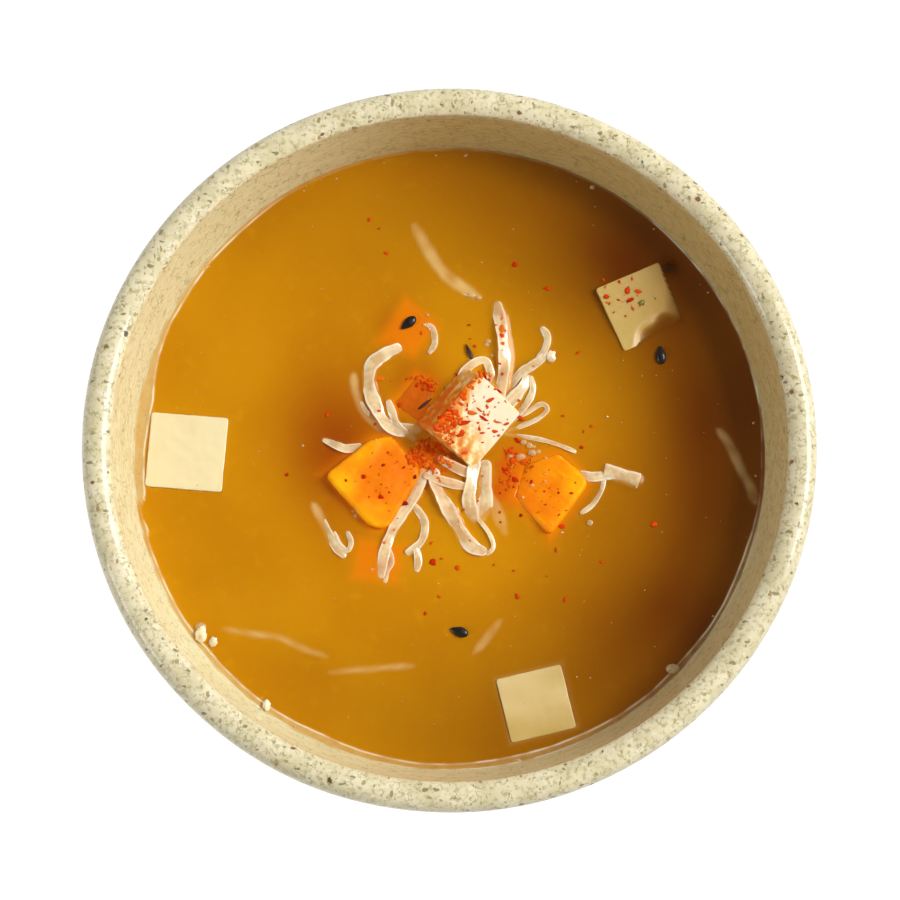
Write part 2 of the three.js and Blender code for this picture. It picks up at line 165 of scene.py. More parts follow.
def ball(rows, columns):
    """A ball's points: (sin a cos b, sin a sin b, cos a), with a from 0 to pi by rows and b once round."""
    down = np.linspace(0, math.pi, rows)[:, None]
    about = np.linspace(0, TAU, columns, endpoint=False)[None]
    return np.stack(np.broadcast_arrays(
        np.sin(down) * np.cos(about), np.sin(down) * np.sin(about), np.cos(down)), -1)


# ---- closed surfaces ----

class Surface:
    """Vertices in millimetres with their faces and point attributes."""

    def __init__(self, vertices, faces, attributes=None):
        self.vertices = vertices
        self.faces = faces
        self.attributes = attributes or {}


def joined(surfaces):
    """Many surfaces as one: their vertices in turn, and each one's faces counted on from its start."""
    starts = np.cumsum([0] + [len(s.vertices) for s in surfaces[:-1]]).tolist()
    faces = [[i + start for i in face] for s, start in zip(surfaces, starts) for face in s.faces]
    names = surfaces[0].attributes
    together = {name: np.concatenate([s.attributes[name] for s in surfaces]) for name in names}
    return Surface(np.vstack([s.vertices for s in surfaces]), faces, together)


def closed(points, **attributes):
    """The closed surface of a grid of points [rows, columns, 3] whose columns join round.

    The first and last rows are one point each. The faces are turned round if the volume comes out negative.
    """
    rows, columns = points.shape[:2]
    body = points[1:-1].reshape(-1, 3)
    vertices = np.vstack([points[0, 0], body, points[-1, 0]])
    i = np.arange(rows - 3)[:, None] * columns + 1
    j = np.arange(columns)[None, :]
    k = (j + 1) % columns
    quads = np.stack([i + j, i + k, i + columns + k, i + columns + j], -1).reshape(-1, 4)
    j, k = j[0], k[0]
    last = len(vertices) - 1
    start = last - columns
    first_fan = np.stack([np.zeros_like(j), 1 + k, 1 + j], -1)
    last_fan = np.stack([np.full_like(j, last), start + j, start + k], -1)
    a, b, c = (vertices[quads[:, n]] for n in (0, 1, 2))
    d = vertices[quads[:, 3]]
    volume = np.einsum("ij,ij->", a, np.cross(b, c)) + np.einsum("ij,ij->", a, np.cross(c, d))
    faces = quads.tolist() + first_fan.tolist() + last_fan.tolist()
    if volume < 0:
        faces = [face[::-1] for face in faces]
    flat = {}
    for name, grid in attributes.items():
        grid = np.broadcast_to(grid, points.shape[:2] + np.shape(grid)[2:])
        inner = grid[1:-1].reshape(-1, *grid.shape[2:])
        flat[name] = np.concatenate([grid[:1, 0], inner, grid[-1:, 0]])
    return Surface(vertices, faces, flat)


def piece(name, surface, material, replaces=()):
    """The surface as a smooth mesh that rides on the part, with its point attributes."""
    mesh = bpy.data.meshes.new(name)
    mesh.from_pydata((surface.vertices * MM).tolist(), [], surface.faces)
    for key, values in surface.attributes.items():
        kind = "FLOAT" if values.ndim == 1 else "FLOAT_VECTOR"
        layer = mesh.attributes.new(key, kind, "POINT")
        layer.data.foreach_set("value" if kind == "FLOAT" else "vector", values.astype(np.float32).ravel())
    mesh.polygons.foreach_set("use_smooth", np.ones(len(mesh.polygons), bool))
    mesh.materials.append(material)
    mesh.update()
    made = bpy.data.objects.new(name, mesh)
    bpy.context.scene.collection.objects.link(made)
    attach(made, "root")
    if replaces:
        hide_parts(*replaces)


# ---- node groups and materials ----

def rgb(code):
    """A colour written as six hex digits, as linear red, green, blue and 1."""
    shares = [int(code[i:i + 2], 16) / 255 for i in (0, 2, 4)]
    return tuple(s / 12.92 if s <= 0.04045 else ((s + 0.055) / 1.055) ** 2.4 for s in shares) + (1.0,)


# what a colour turns to under the broth, unless its material says otherwise
BROTH_COLOR = "C07C08"


def put(tree, socket, value):
    """Links a value that is a socket, and sets any other. A text is a colour in six hex digits."""
    if isinstance(value, bpy.types.NodeSocket):
        tree.links.new(value, socket)
    else:
        socket.default_value = rgb(value) if isinstance(value, str) else value


class Nodes:
    """Short calls for making nodes in one tree, each giving the new node's output."""

    def __init__(self, tree):
        self.tree = tree

    def add(self, kind, inputs=None, **settings):
        """The node itself, with its settings and its inputs, which are linked or set."""
        node = self.tree.nodes.new(kind)
        for key, value in settings.items():
            setattr(node, key, value)
        for key, value in (inputs or {}).items():
            put(self.tree, node.inputs[key], value)
        return node

    def place(self):
        """A point's place on the part, in metres."""
        return self.add("ShaderNodeTexCoord").outputs["Object"]

    def attribute(self, name, output="Fac"):
        return self.add("ShaderNodeAttribute", attribute_name=name).outputs[output]

    def math(self, operation, a, b=0.5, clamp=False):
        return self.add("ShaderNodeMath", {0: a, 1: b}, operation=operation, use_clamp=clamp).outputs[0]

    def vector(self, operation, a, b):
        return self.add("ShaderNodeVectorMath", {0: a, 1: b}, operation=operation).outputs[0]

    def axis(self, vector, name):
        return self.add("ShaderNodeSeparateXYZ", {"Vector": vector}).outputs[name]

    def along(self, direction):
        """How far a place lies along a direction."""
        inputs = {0: self.place(), 1: direction}
        return self.add("ShaderNodeVectorMath", inputs, operation="DOT_PRODUCT").outputs["Value"]

    def ramp(self, value, low, high, out_low=0.0, out_high=1.0):
        """A smooth step from one output to the other as the value goes from low to high."""
        inputs = {"Value": value, "From Min": low, "From Max": high, "To Min": out_low, "To Max": out_high}
        return self.add("ShaderNodeMapRange", inputs, interpolation_type="SMOOTHSTEP").outputs["Result"]

    def mix(self, share, a, b):
        return self.add("ShaderNodeMix", {0: share, 6: a, 7: b}, data_type="RGBA").outputs[2]

    def noise(self, vector, size, detail=3.0, roughness=0.55):
        """Soft noise whose lumps are `size` millimetres apart."""
        inputs = {"Vector": vector, "Scale": 1 / (size * MM), "Detail": detail, "Roughness": roughness}
        return self.add("ShaderNodeTexNoise", inputs).outputs["Fac"]

    def bump(self, height, strength, distance):
        inputs = {"Height": height, "Strength": strength, "Distance": distance * MM}
        return self.add("ShaderNodeBump", inputs).outputs["Normal"]

    def group(self, group, inputs):
        return self.add("ShaderNodeGroup", inputs, node_tree=group).outputs

    def mottled(self, first, second, size, low=0.35, high=0.65):
        """Two colours mixed by soft noise, the second where the noise goes from low to high."""
        inputs = {"First": first, "Second": second, "Size mm": size, "Low": low, "High": high}
        return self.group(MOTTLE, inputs)["Color"]

    def sunk(self, color, reach, broth=BROTH_COLOR):
        """A colour that turns to the broth's within `reach` millimetres of depth."""
        return self.group(SUNK, {"Color": color, "Broth": broth, "Reach mm": reach})["Color"]


def new_group(name, inputs, outputs):
    """An empty shader group with its named sockets, each given as (name, kind, value)."""
    group = bpy.data.node_groups.new(name, "ShaderNodeTree")
    for label, kind, value in inputs:
        socket = group.interface.new_socket(label, in_out="INPUT", socket_type="NodeSocket" + kind)
        put(group, socket, value)
    for label, kind in outputs:
        group.interface.new_socket(label, in_out="OUTPUT", socket_type="NodeSocket" + kind)
    n = Nodes(group)
    entry = n.add("NodeGroupInput").outputs
    leave = n.add("NodeGroupOutput").inputs
    return group, n, entry, leave


def mottle_group():
    """Two colours mixed by soft noise of a given size."""
    group, n, entry, leave = new_group(
        "mottle",
        [("First", "Color", "FFFFFF"), ("Second", "Color", "000000"),
         ("Size mm", "Float", 5.0), ("Low", "Float", 0.35), ("High", "Float", 0.65)],
        [("Color", "Color")],
    )
    scale = n.math("DIVIDE", 1 / MM, entry["Size mm"])
    noise = n.add("ShaderNodeTexNoise", {"Vector": n.place(), "Scale": scale, "Detail": 4.0})
    mask = n.ramp(noise.outputs["Fac"], entry["Low"], entry["High"])
    group.links.new(n.mix(mask, entry["First"], entry["Second"]), leave["Color"])
    return group


def specks_group():
    """A mask of scattered specks: round cells of which a share is taken, each with its own radius."""
    group, n, entry, leave = new_group(
        "specks",
        [("Spacing mm", "Float", 1.5), ("Radius", "Float", 0.2), ("Share", "Float", 0.5),
         ("Warp mm", "Float", 0.3), ("Stretch", "Vector", (1, 1, 1))],
        [("Mask", "Float"), ("Tone", "Float")],
    )
    place = n.place()
    warp = n.add("ShaderNodeTexNoise", {"Vector": place, "Scale": 1 / (0.7 * MM), "Detail": 2.0})
    centred = n.vector("SUBTRACT", warp.outputs["Color"], (0.5, 0.5, 0.5))
    reach = n.math("MULTIPLY", entry["Warp mm"], 2 * MM)
    shift = n.add("ShaderNodeVectorMath", {0: centred, "Scale": reach}, operation="SCALE").outputs[0]
    warped = n.vector("MULTIPLY", n.vector("ADD", place, shift), entry["Stretch"])
    scale = n.math("DIVIDE", 1 / MM, entry["Spacing mm"])
    cells = n.add("ShaderNodeTexVoronoi", {"Vector": warped, "Scale": scale}, feature="F1")
    parts = n.add("ShaderNodeSeparateColor", {"Color": cells.outputs["Color"]}).outputs
    taken = n.math("LESS_THAN", parts["Red"], entry["Share"])
    radius = n.math("MULTIPLY", entry["Radius"], n.math("ADD", parts["Green"], 0.35))
    inside = n.math("SUBTRACT", radius, cells.outputs["Distance"])
    edge = n.ramp(inside, 0.0, 0.06)
    group.links.new(n.math("MULTIPLY", taken, edge), leave["Mask"])
    group.links.new(parts["Blue"], leave["Tone"])
    return group


def cracks_group():
    """A mask of fine broken lines: the borders of warped cells, kept where soft noise is high."""
    group, n, entry, leave = new_group(
        "cracks", [("Spacing mm", "Float", 2.0), ("Width", "Float", 0.05)], [("Mask", "Float")],
    )
    place = n.place()
    warp = n.add("ShaderNodeTexNoise", {"Vector": place, "Scale": 1 / (1.1 * MM), "Detail": 3.0})
    by = {0: warp.outputs["Color"], "Scale": 1.3 * MM}
    shift = n.add("ShaderNodeVectorMath", by, operation="SCALE").outputs[0]
    scale = n.math("DIVIDE", 1 / MM, entry["Spacing mm"])
    inputs = {"Vector": n.vector("ADD", place, shift), "Scale": scale}
    cells = n.add("ShaderNodeTexVoronoi", inputs, feature="DISTANCE_TO_EDGE")
    line = n.math("SUBTRACT", 1.0, n.ramp(cells.outputs["Distance"], 0.0, entry["Width"]))
    kept = n.ramp(n.noise(place, 2.3, detail=2.0), 0.48, 0.6)
    group.links.new(n.math("MULTIPLY", line, kept), leave["Mask"])
    return group


def sunk_group():
    """A colour that turns to the broth's with its depth under the broth."""
    group, n, entry, leave = new_group(
        "sunk",
        [("Color", "Color", "FFFFFF"), ("Broth", "Color", BROTH_COLOR), ("Reach mm", "Float", 1.5)],
        [("Color", "Color")],
    )
    under = n.math("SUBTRACT", (SOUP_LEVEL + WET_ABOVE) * MM, n.axis(n.place(), "Z"))
    reach = n.math("MULTIPLY", entry["Reach mm"], MM)
    depth = n.math("DIVIDE", under, reach, clamp=True)
    group.links.new(n.mix(depth, entry["Color"], entry["Broth"]), leave["Color"])
    return group


MOTTLE = mottle_group()
SPECKS = specks_group()
CRACKS = cracks_group()
SUNK = sunk_group()


def new_material(name):
    """A new material with its node calls and its Principled BSDF."""
    material = bpy.data.materials.new(name)
    material.use_nodes = True
    n = Nodes(material.node_tree)
    return material, n, material.node_tree.nodes["Principled BSDF"]


def connect(n, shader, **inputs):
    """Sets or links the shader's inputs, written with _ for a space."""
    for key, value in inputs.items():
        put(n.tree, shader.inputs[key.replace("_", " ")], value)


# painted light and shade over the inner wall's tan, paler towards the left and front where more light falls,
# and browner towards the shaded back right: a direction, the distances along it between which it comes in,
# and its strength and colour
WALL_LIGHT_AND_SHADE = (
    ((0.6, 1, 0), 25, 58, 0.42, "B08C44"),
    ((-0.7, 0.7, 0), 40, 56, 0.35, "E8E4B8"),
    ((-0.5, -1, 0), 25, 58, 0.85, "EAEABF"),
    ((0.5, -1, 0), 25, 58, 0.5, "E4D2A0"),
)
# each layer of flecks: spacing, radius, share, warp, stretch, its two colours and its strength
FLECKS = (
    (0.85, 0.24, 0.5, 0.4, (1, 0.6, 1), "8E8048", "7A6C3A", 0.6),
    (1.9, 0.19, 0.6, 0.5, (1, 1, 1), "A09458", "8A7E48", 0.75),
    (1.2, 0.22, 0.5, 0.4, (0.5, 1, 0.7), "7E7440", "6B5A30", 0.8),
    (1.3, 0.21, 0.42, 0.4, (1, 0.45, 0.8), "8A7A48", "A07848", 0.8),
    (2.6, 0.15, 0.34, 0.5, (1, 0.8, 1), "4E4222", "5A3C1C", 0.95),
    (3.1, 0.13, 0.32, 0.3, (0.8, 1, 1), "8A4A22", "6E3A1A", 0.9),
    (4.2, 0.1, 0.28, 0.3, (1, 1, 1), "2A2412", "35301C", 1.0),
)


def stoneware_material():
    """Cream glaze, finely mottled, with olive, brown and rust flecks and fine crackle.

    Painted shade makes it a little darker outside and towards +X. Inside, it is tan with throwing streaks,
    and painted light and shade lean its tone from one side to the other: paler towards the lit left, darker
    and browner towards the right.
    """
    material, n, shader = new_material("speckled_stoneware")
    inside = n.attribute("inside")
    base = n.mottled("ECE0BA", "DACEA4", 4.2)
    pale = n.mottled(base, "F2E8CC", 1.6, 0.5, 0.8)
    olive = n.mottled(pale, "BEB486", 0.9, 0.48, 0.7)
    # painted shade: the glaze darkens towards +X
    olive = n.mix(n.ramp(n.axis(n.place(), "X"), 20 * MM, 62 * MM, 0.0, 0.15), olive, "8E8466")
    sideways = n.vector("MULTIPLY", n.place(), (1, 1, 0))
    girth = n.add("ShaderNodeVectorMath", {0: sideways}, operation="LENGTH").outputs["Value"]
    # painted shade: darker over the rim's outer edge and the outside
    olive = n.mix(n.ramp(girth, 62.3 * MM, 64 * MM, 0.0, 0.35), olive, "969074")
    streak = n.noise(n.vector("MULTIPLY", n.place(), (0.45, 0.45, 2.2)), 0.8, detail=4.0, roughness=0.6)
    # painted light and shade on the inner wall: its tan darkens towards the right
    rightward = n.ramp(n.along((1, 0.3, 0)), -55 * MM, 45 * MM)
    light_tan = n.mix(rightward, "DED0A4", "DAC690")
    dark_tan = n.mix(rightward, "CCBB86", "C6AE72")
    tan = n.mix(n.ramp(streak, 0.35, 0.65), light_tan, dark_tan)
    # painted light and shade over the tan, by direction
    for direction, start, end, strength, tone in WALL_LIGHT_AND_SHADE:
        tan = n.mix(n.ramp(n.along(direction), start * MM, end * MM, 0.0, strength), tan, tone)
    dark_streak = n.mix(n.ramp(streak, 0.58, 0.7, 0.0, 0.4), tan, "8A7644")
    color = n.mix(inside, olive, dark_streak)
    cracks = n.group(CRACKS, {"Spacing mm": 1.7, "Width": 0.06})["Mask"]
    color = n.mix(n.math("MULTIPLY", cracks, 0.6), color, "8A7B46")
    fewer = n.math("SUBTRACT", 1.0, n.math("MULTIPLY", inside, 0.65))
    for spacing, radius, share, warp, stretch, one, two, strength in FLECKS:
        specks = n.group(SPECKS, {"Spacing mm": spacing, "Radius": radius, "Share": share,
                                  "Warp mm": warp, "Stretch": stretch})
        mask = n.math("MULTIPLY", n.math("MULTIPLY", specks["Mask"], strength), fewer)
        color = n.mix(mask, color, n.mix(specks["Tone"], one, two))
    grain = n.noise(n.place(), 0.8, detail=4.0)
    swell = n.noise(n.place(), 5.0, detail=2.0)
    height = n.math("ADD", n.math("MULTIPLY", grain, 0.2), swell)
    ridged = n.mix(inside, height, n.math("ADD", height, n.math("MULTIPLY", streak, 0.6)))
    connect(n, shader, Base_Color=color, Roughness=n.ramp(grain, 0.3, 0.7, 0.4, 0.55),
            Normal=n.bump(ridged, 0.12, 0.2), Coat_Weight=0.5, Coat_Roughness=0.12,
            Specular_IOR_Level=0.3)
    return material


# the broth's looks, each with the colour that it turns to where the look is strong, from the undermost up
# the first two are painted shade, from the bowl's wall and from the pile
BROTH_LOOKS = (
    ("deep", "6A3000"), ("shade", "963400"), ("oil", "D85A04"), ("glow", "F48404"), ("pale", "EECC88"),
)


def broth_material():
    """Cloudy amber broth with a wet surface.

    Its points say how clouded it is (veil), where painted shade from the wall browns it (deep), where
    painted shade from the pile darkens it (shade), where chili oil lies on it (oil), where squash glows
    through it (glow), where a pale shred shows (pale), where it thins out against the wall with a painted
    reflection of the lit wall (thin), and where glints on the meniscus at the wall are painted (lip).
    """
    material, n, shader = new_material("miso_broth")
    color = n.mottled(n.mottled("D89304", "CE8802", 24.0), "DE9C0C", 3.0, 0.5, 0.95)
    for look, tone in BROTH_LOOKS:
        color = n.mix(n.attribute(look), color, tone)
    grains = n.group(SPECKS, {"Spacing mm": 3.4, "Radius": 0.05, "Share": 0.3, "Warp mm": 0.2})["Mask"]
    color = n.mix(n.math("MULTIPLY", grains, 0.5), color, "F0C878")
    # where the broth thins at the wall, with a painted reflection of the lit wall; then the painted glints
    # on the meniscus
    color = n.mix(n.attribute("thin"), color, "DABB7C")
    color = n.mix(n.attribute("painted_glints"), color, "FFF4D4")
    ripple = n.noise(n.place(), 9.0, detail=1.0)
    connect(n, shader, Base_Color=color, Roughness=0.08, IOR=1.34,
            Subsurface_Weight=0.3, Subsurface_Radius=(1.0, 0.6, 0.2), Subsurface_Scale=1.5 * MM,
            Specular_IOR_Level=0.4, Normal=n.bump(ripple, 0.08, 0.3), Alpha=n.attribute("veil"))
    return material


def tofu_material():
    """Silken tofu: cream, yellower where it has soaked and darker there with painted shade, faintly mottled
    and pored, with a faint painted glow of its own colour.
    """
    material, n, shader = new_material("silken_tofu")
    soak = n.attribute("soak")
    fresh = n.mix(n.ramp(soak, 0.0, 0.5), "F0E2C0", "FBE6B4")
    # painted shade as well as soaking: a high soak, set on dice that stand in less light, darkens them
    soaked = n.mix(n.ramp(soak, 0.5, 1.0), fresh, "BE9E50")
    cream = n.mottled(soaked, n.mix(0.12, soaked, "E6C070"), 5.0, 0.45, 0.8)
    stain = n.attribute("stain")
    oily = n.mix(n.ramp(stain, 0.0, 0.45), cream, "E6AC50")
    stained = n.mix(n.ramp(stain, 0.4, 1.0), oily, "DC6C12")
    color = n.sunk(stained, 1.4)
    pores = n.noise(n.place(), 0.5, detail=5.0, roughness=0.7)
    # the emission is a painted glow of the tofu's own colour
    connect(n, shader, Base_Color=color, Roughness=n.ramp(pores, 0.3, 0.7, 0.35, 0.5),
            Subsurface_Weight=0.5, Subsurface_Radius=(1.0, 0.9, 0.7), Subsurface_Scale=0.9 * MM,
            Normal=n.bump(pores, 0.12, 0.1), Coat_Weight=0.1, Coat_Roughness=0.2,
            Emission_Color=color, Emission_Strength=0.05)
    return material


def squash_material():
    """Boiled squash: deep orange-yellow with paler threads, deeper orange where broth has soaked in, glossy
    with broth, darker on its flanks and on a die with a high soak with painted shade, and with a faint
    painted glow of its own colour.
    """
    material, n, shader = new_material("boiled_squash")
    threads = n.mottled(n.mottled("FFB400", "FA9200", 7.0), "FFBE0A", 1.3, 0.55, 0.8)
    soak = n.attribute("soak")
    soft = n.mix(soak, threads, "EA7400")
    # painted shade: a soak over 1 darkens a die that sits in less light
    soaked = n.mix(n.ramp(soak, 1.0, 2.0), soft, "BC5400")
    # painted shade down the die's sides
    painted_shade_flank = n.mix(n.attribute("edge"), soaked, "F48600")
    color = n.sunk(painted_shade_flank, 3.0, "C87004")
    grain = n.noise(n.place(), 0.7, detail=4.0)
    # the emission is a painted glow of the squash's own colour
    connect(n, shader, Base_Color=color, Roughness=0.5, Subsurface_Weight=0.4,
            Subsurface_Radius=(1.0, 0.6, 0.1), Subsurface_Scale=1 * MM, Specular_IOR_Level=0.12,
            Normal=n.bump(grain, 0.2, 0.15), Coat_Weight=0.12, Coat_Roughness=0.05,
            Emission_Color=color, Emission_Strength=0.08)
    return material


def shred_material():
    """Leek shreds: pale, fibrous along their length, brighter at their edges with a painted highlight, and
    wet.

    They pass light on, which a faint glow of their own colour stands for.
    """
    material, n, shader = new_material("leek_shreds")
    weave = n.attribute("weave", "Vector")
    stretched = n.vector("MULTIPLY", weave, (0.2, 2.0, 7.0))
    fibres = n.add("ShaderNodeTexNoise", {"Vector": stretched, "Scale": 1.6, "Detail": 3.0}).outputs["Fac"]
    blotches = n.noise(n.place(), 3.0, detail=2.0)
    pale = n.mix(n.ramp(fibres, 0.3, 0.7), "FBE2B8", "F4D29C")
    clouded = n.mix(n.ramp(blotches, 0.42, 0.7, 0.0, 0.7), pale, "F2D09C")
    stained = n.mix(n.attribute("stain"), clouded, "F08838")
    side = n.math("ABSOLUTE", n.axis(weave, "Y"))
    # painted highlight: the edges whiten
    color = n.mix(n.ramp(side, 0.5, 0.95, 0.0, 0.5), n.sunk(stained, 1.2, "D89A38"), "FFF0D6")
    firm = n.ramp(side, 0.55, 0.95, 0.0, 0.3)
    alpha = n.math("ADD", n.ramp(blotches, 0.35, 0.65, 0.86, 0.5), firm, clamp=True)
    connect(n, shader, Base_Color=color, Roughness=0.3, Subsurface_Weight=0.5,
            Subsurface_Radius=(1.0, 0.75, 0.45), Subsurface_Scale=0.8 * MM,
            Normal=n.bump(fibres, 0.05, 0.1), Coat_Weight=1.0, Coat_Roughness=0.03,
            Emission_Color=color, Emission_Strength=0.12, Alpha=alpha)
    return material


def chili_material():
    """Dried chili: each flake from orange through red to dark red by its tone, wet and finely rough."""
    material, n, shader = new_material("chili_flakes")
    tone = n.attribute("tone")
    warm = n.mix(n.ramp(tone, 0.0, 0.45), "E67A10", "DA4604")
    red = n.mix(n.ramp(tone, 0.45, 0.75), warm, "C22402")
    color = n.mix(n.ramp(tone, 0.78, 1.0), red, "7A1400")
    grain = n.noise(n.place(), 0.3, detail=3.0)
    connect(n, shader, Base_Color=color, Roughness=n.ramp(grain, 0.3, 0.7, 0.4, 0.7),
            Normal=n.bump(grain, 0.3, 0.1), Specular_IOR_Level=0.06)
    return material


def sesame_material():
    """Black sesame: near black, finely pitted, with a wet shine."""
    material, n, shader = new_material("black_sesame")
    pits = n.noise(n.place(), 0.25, detail=3.0)
    browned = n.mix(n.attribute("brown"), n.mottled("0C0908", "1A120E", 0.8), "4A2014")
    connect(n, shader, Base_Color=browned, Roughness=0.5, Specular_IOR_Level=0.25,
            Normal=n.bump(pits, 0.4, 0.06), Coat_Weight=0.35, Coat_Roughness=0.04)
    return material


def herb_material():
    """A scrap of dried leaf: olive green, darker in patches."""
    material, n, shader = new_material("dried_leaf")
    grain = n.noise(n.place(), 0.3, detail=3.0)
    connect(n, shader, Base_Color=n.mottled("8C8420", "4A4A18", 0.9), Roughness=0.5,
            Normal=n.bump(grain, 0.5, 0.1), Coat_Weight=0.3)
    return material


def bubble_material():
    """Broth froth: nearly clear film with a bright wet shine."""
    material, n, shader = new_material("broth_froth")
    film = n.noise(n.place(), 0.5, detail=2.0)
    connect(n, shader, Base_Color=n.mix(n.ramp(film, 0.4, 0.6), "FAEAC0", "E8C680"), Roughness=0.08,
            IOR=1.34, Coat_Weight=1.0, Coat_Roughness=0.03, Alpha=n.ramp(film, 0.35, 0.65, 0.3, 0.6))
    return material


STONEWARE = stoneware_material()
BROTH = broth_material()
TOFU = tofu_material()
SQUASH = squash_material()
SHREDS = shred_material()
CHILI = chili_material()
SESAME = sesame_material()
HERB = herb_material()
FROTH = bubble_material()


# ---- the bowl ----

BOWL_COLUMNS = 360
CURVE_POINTS = 400
OUTER_ROWS, CROWN_ROWS, INNER_ROWS = 60, 28, 70
# the walls' and the crown's hand-thrown unevenness: each one's size along the wall, and how far it goes
SWELL_SIZE, SWELL = 38, 0.09
RING_SPACING, RING = 4.3, 0.05
RINGS_END = 60
RING_SLANT = 1.5
CROWN_SIZE, CROWN_SWELL, CROWN_BLEND = 24, 0.08, 3
# it grows from this height up, and between these radii
UNEVEN_HEIGHT, UNEVEN_RADII = 20, (30, 45)
# the crown's last rows count as inner wall
CROWN_INSIDE_ROWS = 4
# the inner glaze comes in between these depths under the rim
INSIDE_STARTS, INSIDE_FULL = 0.9, 2.1


def wall_profile(inset, count):
    """The inner wall from the floor's centre to the rim's inner edge as radius and height, moved inwards."""
    edge = (RIM_INNER_RADIUS, BOWL_HEIGHT - RIM_INNER_DROP)
    points = np.array([*INNER_WALL, (SOUP_RADIUS, SOUP_LEVEL), edge]) + (-inset, inset)
    return even(spline(np.vstack([(0, FLOOR_TOP + inset), points]), CURVE_POINTS), count)


def bowl_surface():
    """The bowl's profile turned round: each point at (radius cos a, radius sin a, height).

    The profile runs under the foot, up the outer wall, over the crown as half an ellipse, and down the inner
    wall. Hand-thrown unevenness, as lumps and faint rings, moves it by up to about a tenth of a millimetre.
    `inside` is 1 on the inner wall, from a millimetre or two under the rim.
    """
    foot = [
        (0, FOOT_HEIGHT), (FOOT_RADIUS - FOOT_WIDTH - FOOT_EDGE, FOOT_HEIGHT),
        (FOOT_RADIUS - FOOT_WIDTH, FOOT_EDGE), (FOOT_RADIUS - FOOT_WIDTH + FOOT_EDGE, 0),
        (FOOT_RADIUS - FOOT_EDGE, 0), (FOOT_RADIUS, FOOT_EDGE),
    ]
    foot = np.vstack([np.linspace(a, b, 5)[:-1] for a, b in zip(foot, foot[1:])])
    outer = even(spline([
        (FOOT_RADIUS, FOOT_HEIGHT - FOOT_EDGE), *OUTER_WALL, (RIM_RADIUS, BOWL_HEIGHT - RIM_OUTER_DROP),
    ], CURVE_POINTS), OUTER_ROWS)
    crown_radius = (RIM_RADIUS + RIM_INNER_RADIUS) / 2
    turn = np.linspace(0, math.pi, CROWN_ROWS)[1:-1]
    drop = RIM_OUTER_DROP + (RIM_INNER_DROP - RIM_OUTER_DROP) * turn / math.pi
    crown = np.stack([
        crown_radius + (RIM_RADIUS - crown_radius) * np.cos(turn),
        BOWL_HEIGHT - drop * (1 - np.sin(turn)),
    ], -1)
    profile = np.vstack([foot, outer, crown, wall_profile(0, INNER_ROWS)[::-1]])
    angle = np.linspace(0, TAU, BOWL_COLUMNS, endpoint=False)
    radius, height = profile[:, 0, None], profile[:, 1, None]
    points = np.stack([radius * np.cos(angle), radius * np.sin(angle), height + 0 * angle], -1)
    rise = smoothstep(UNEVEN_HEIGHT, BOWL_HEIGHT, height)
    swell = lumps(points, SWELL_SIZE, 3) * SWELL * rise
    rings = RING * np.sin(height * TAU / RING_SPACING + RING_SLANT * np.sin(angle))
    rings = rings * rise * (height < RINGS_END)
    moved = np.stack([np.cos(angle), np.sin(angle), 0 * angle], -1)[None] * (swell + rings)[..., None]
    points = points + moved * smoothstep(*UNEVEN_RADII, radius)[..., None]
    near_crown = smoothstep(BOWL_HEIGHT - CROWN_BLEND, BOWL_HEIGHT, height)
    crown_lift = lumps(points, CROWN_SIZE, 5) * CROWN_SWELL * near_crown
    points[..., 2] += crown_lift
    wall_start = len(foot) + len(outer) + len(crown) - CROWN_INSIDE_ROWS
    down_inside = np.arange(len(profile))[:, None] >= wall_start
    inside = down_inside * smoothstep(BOWL_HEIGHT - INSIDE_STARTS, BOWL_HEIGHT - INSIDE_FULL, height)
    return closed(points, inside=inside + 0 * angle)


# ---- dice ----

TOFU_CORNER = 0.5
TOFU_BEVEL = 0.13
SQUASH_CORNER = 1.5
OUTLINE_POINTS = 144
CORNER_POINTS, BEVEL_ROWS, SIDE_ROWS, LID_ROWS, BASE_ROWS = 9, 7, 20, 25, 7
# the wear's slope runs from this far outside its reach to this far inside it, and its edge is this ragged
WEAR_OUT, WEAR_IN, WEAR_RAGGED = 1.3, 2.5, 0.35
WEAR_STAIN = 0.1


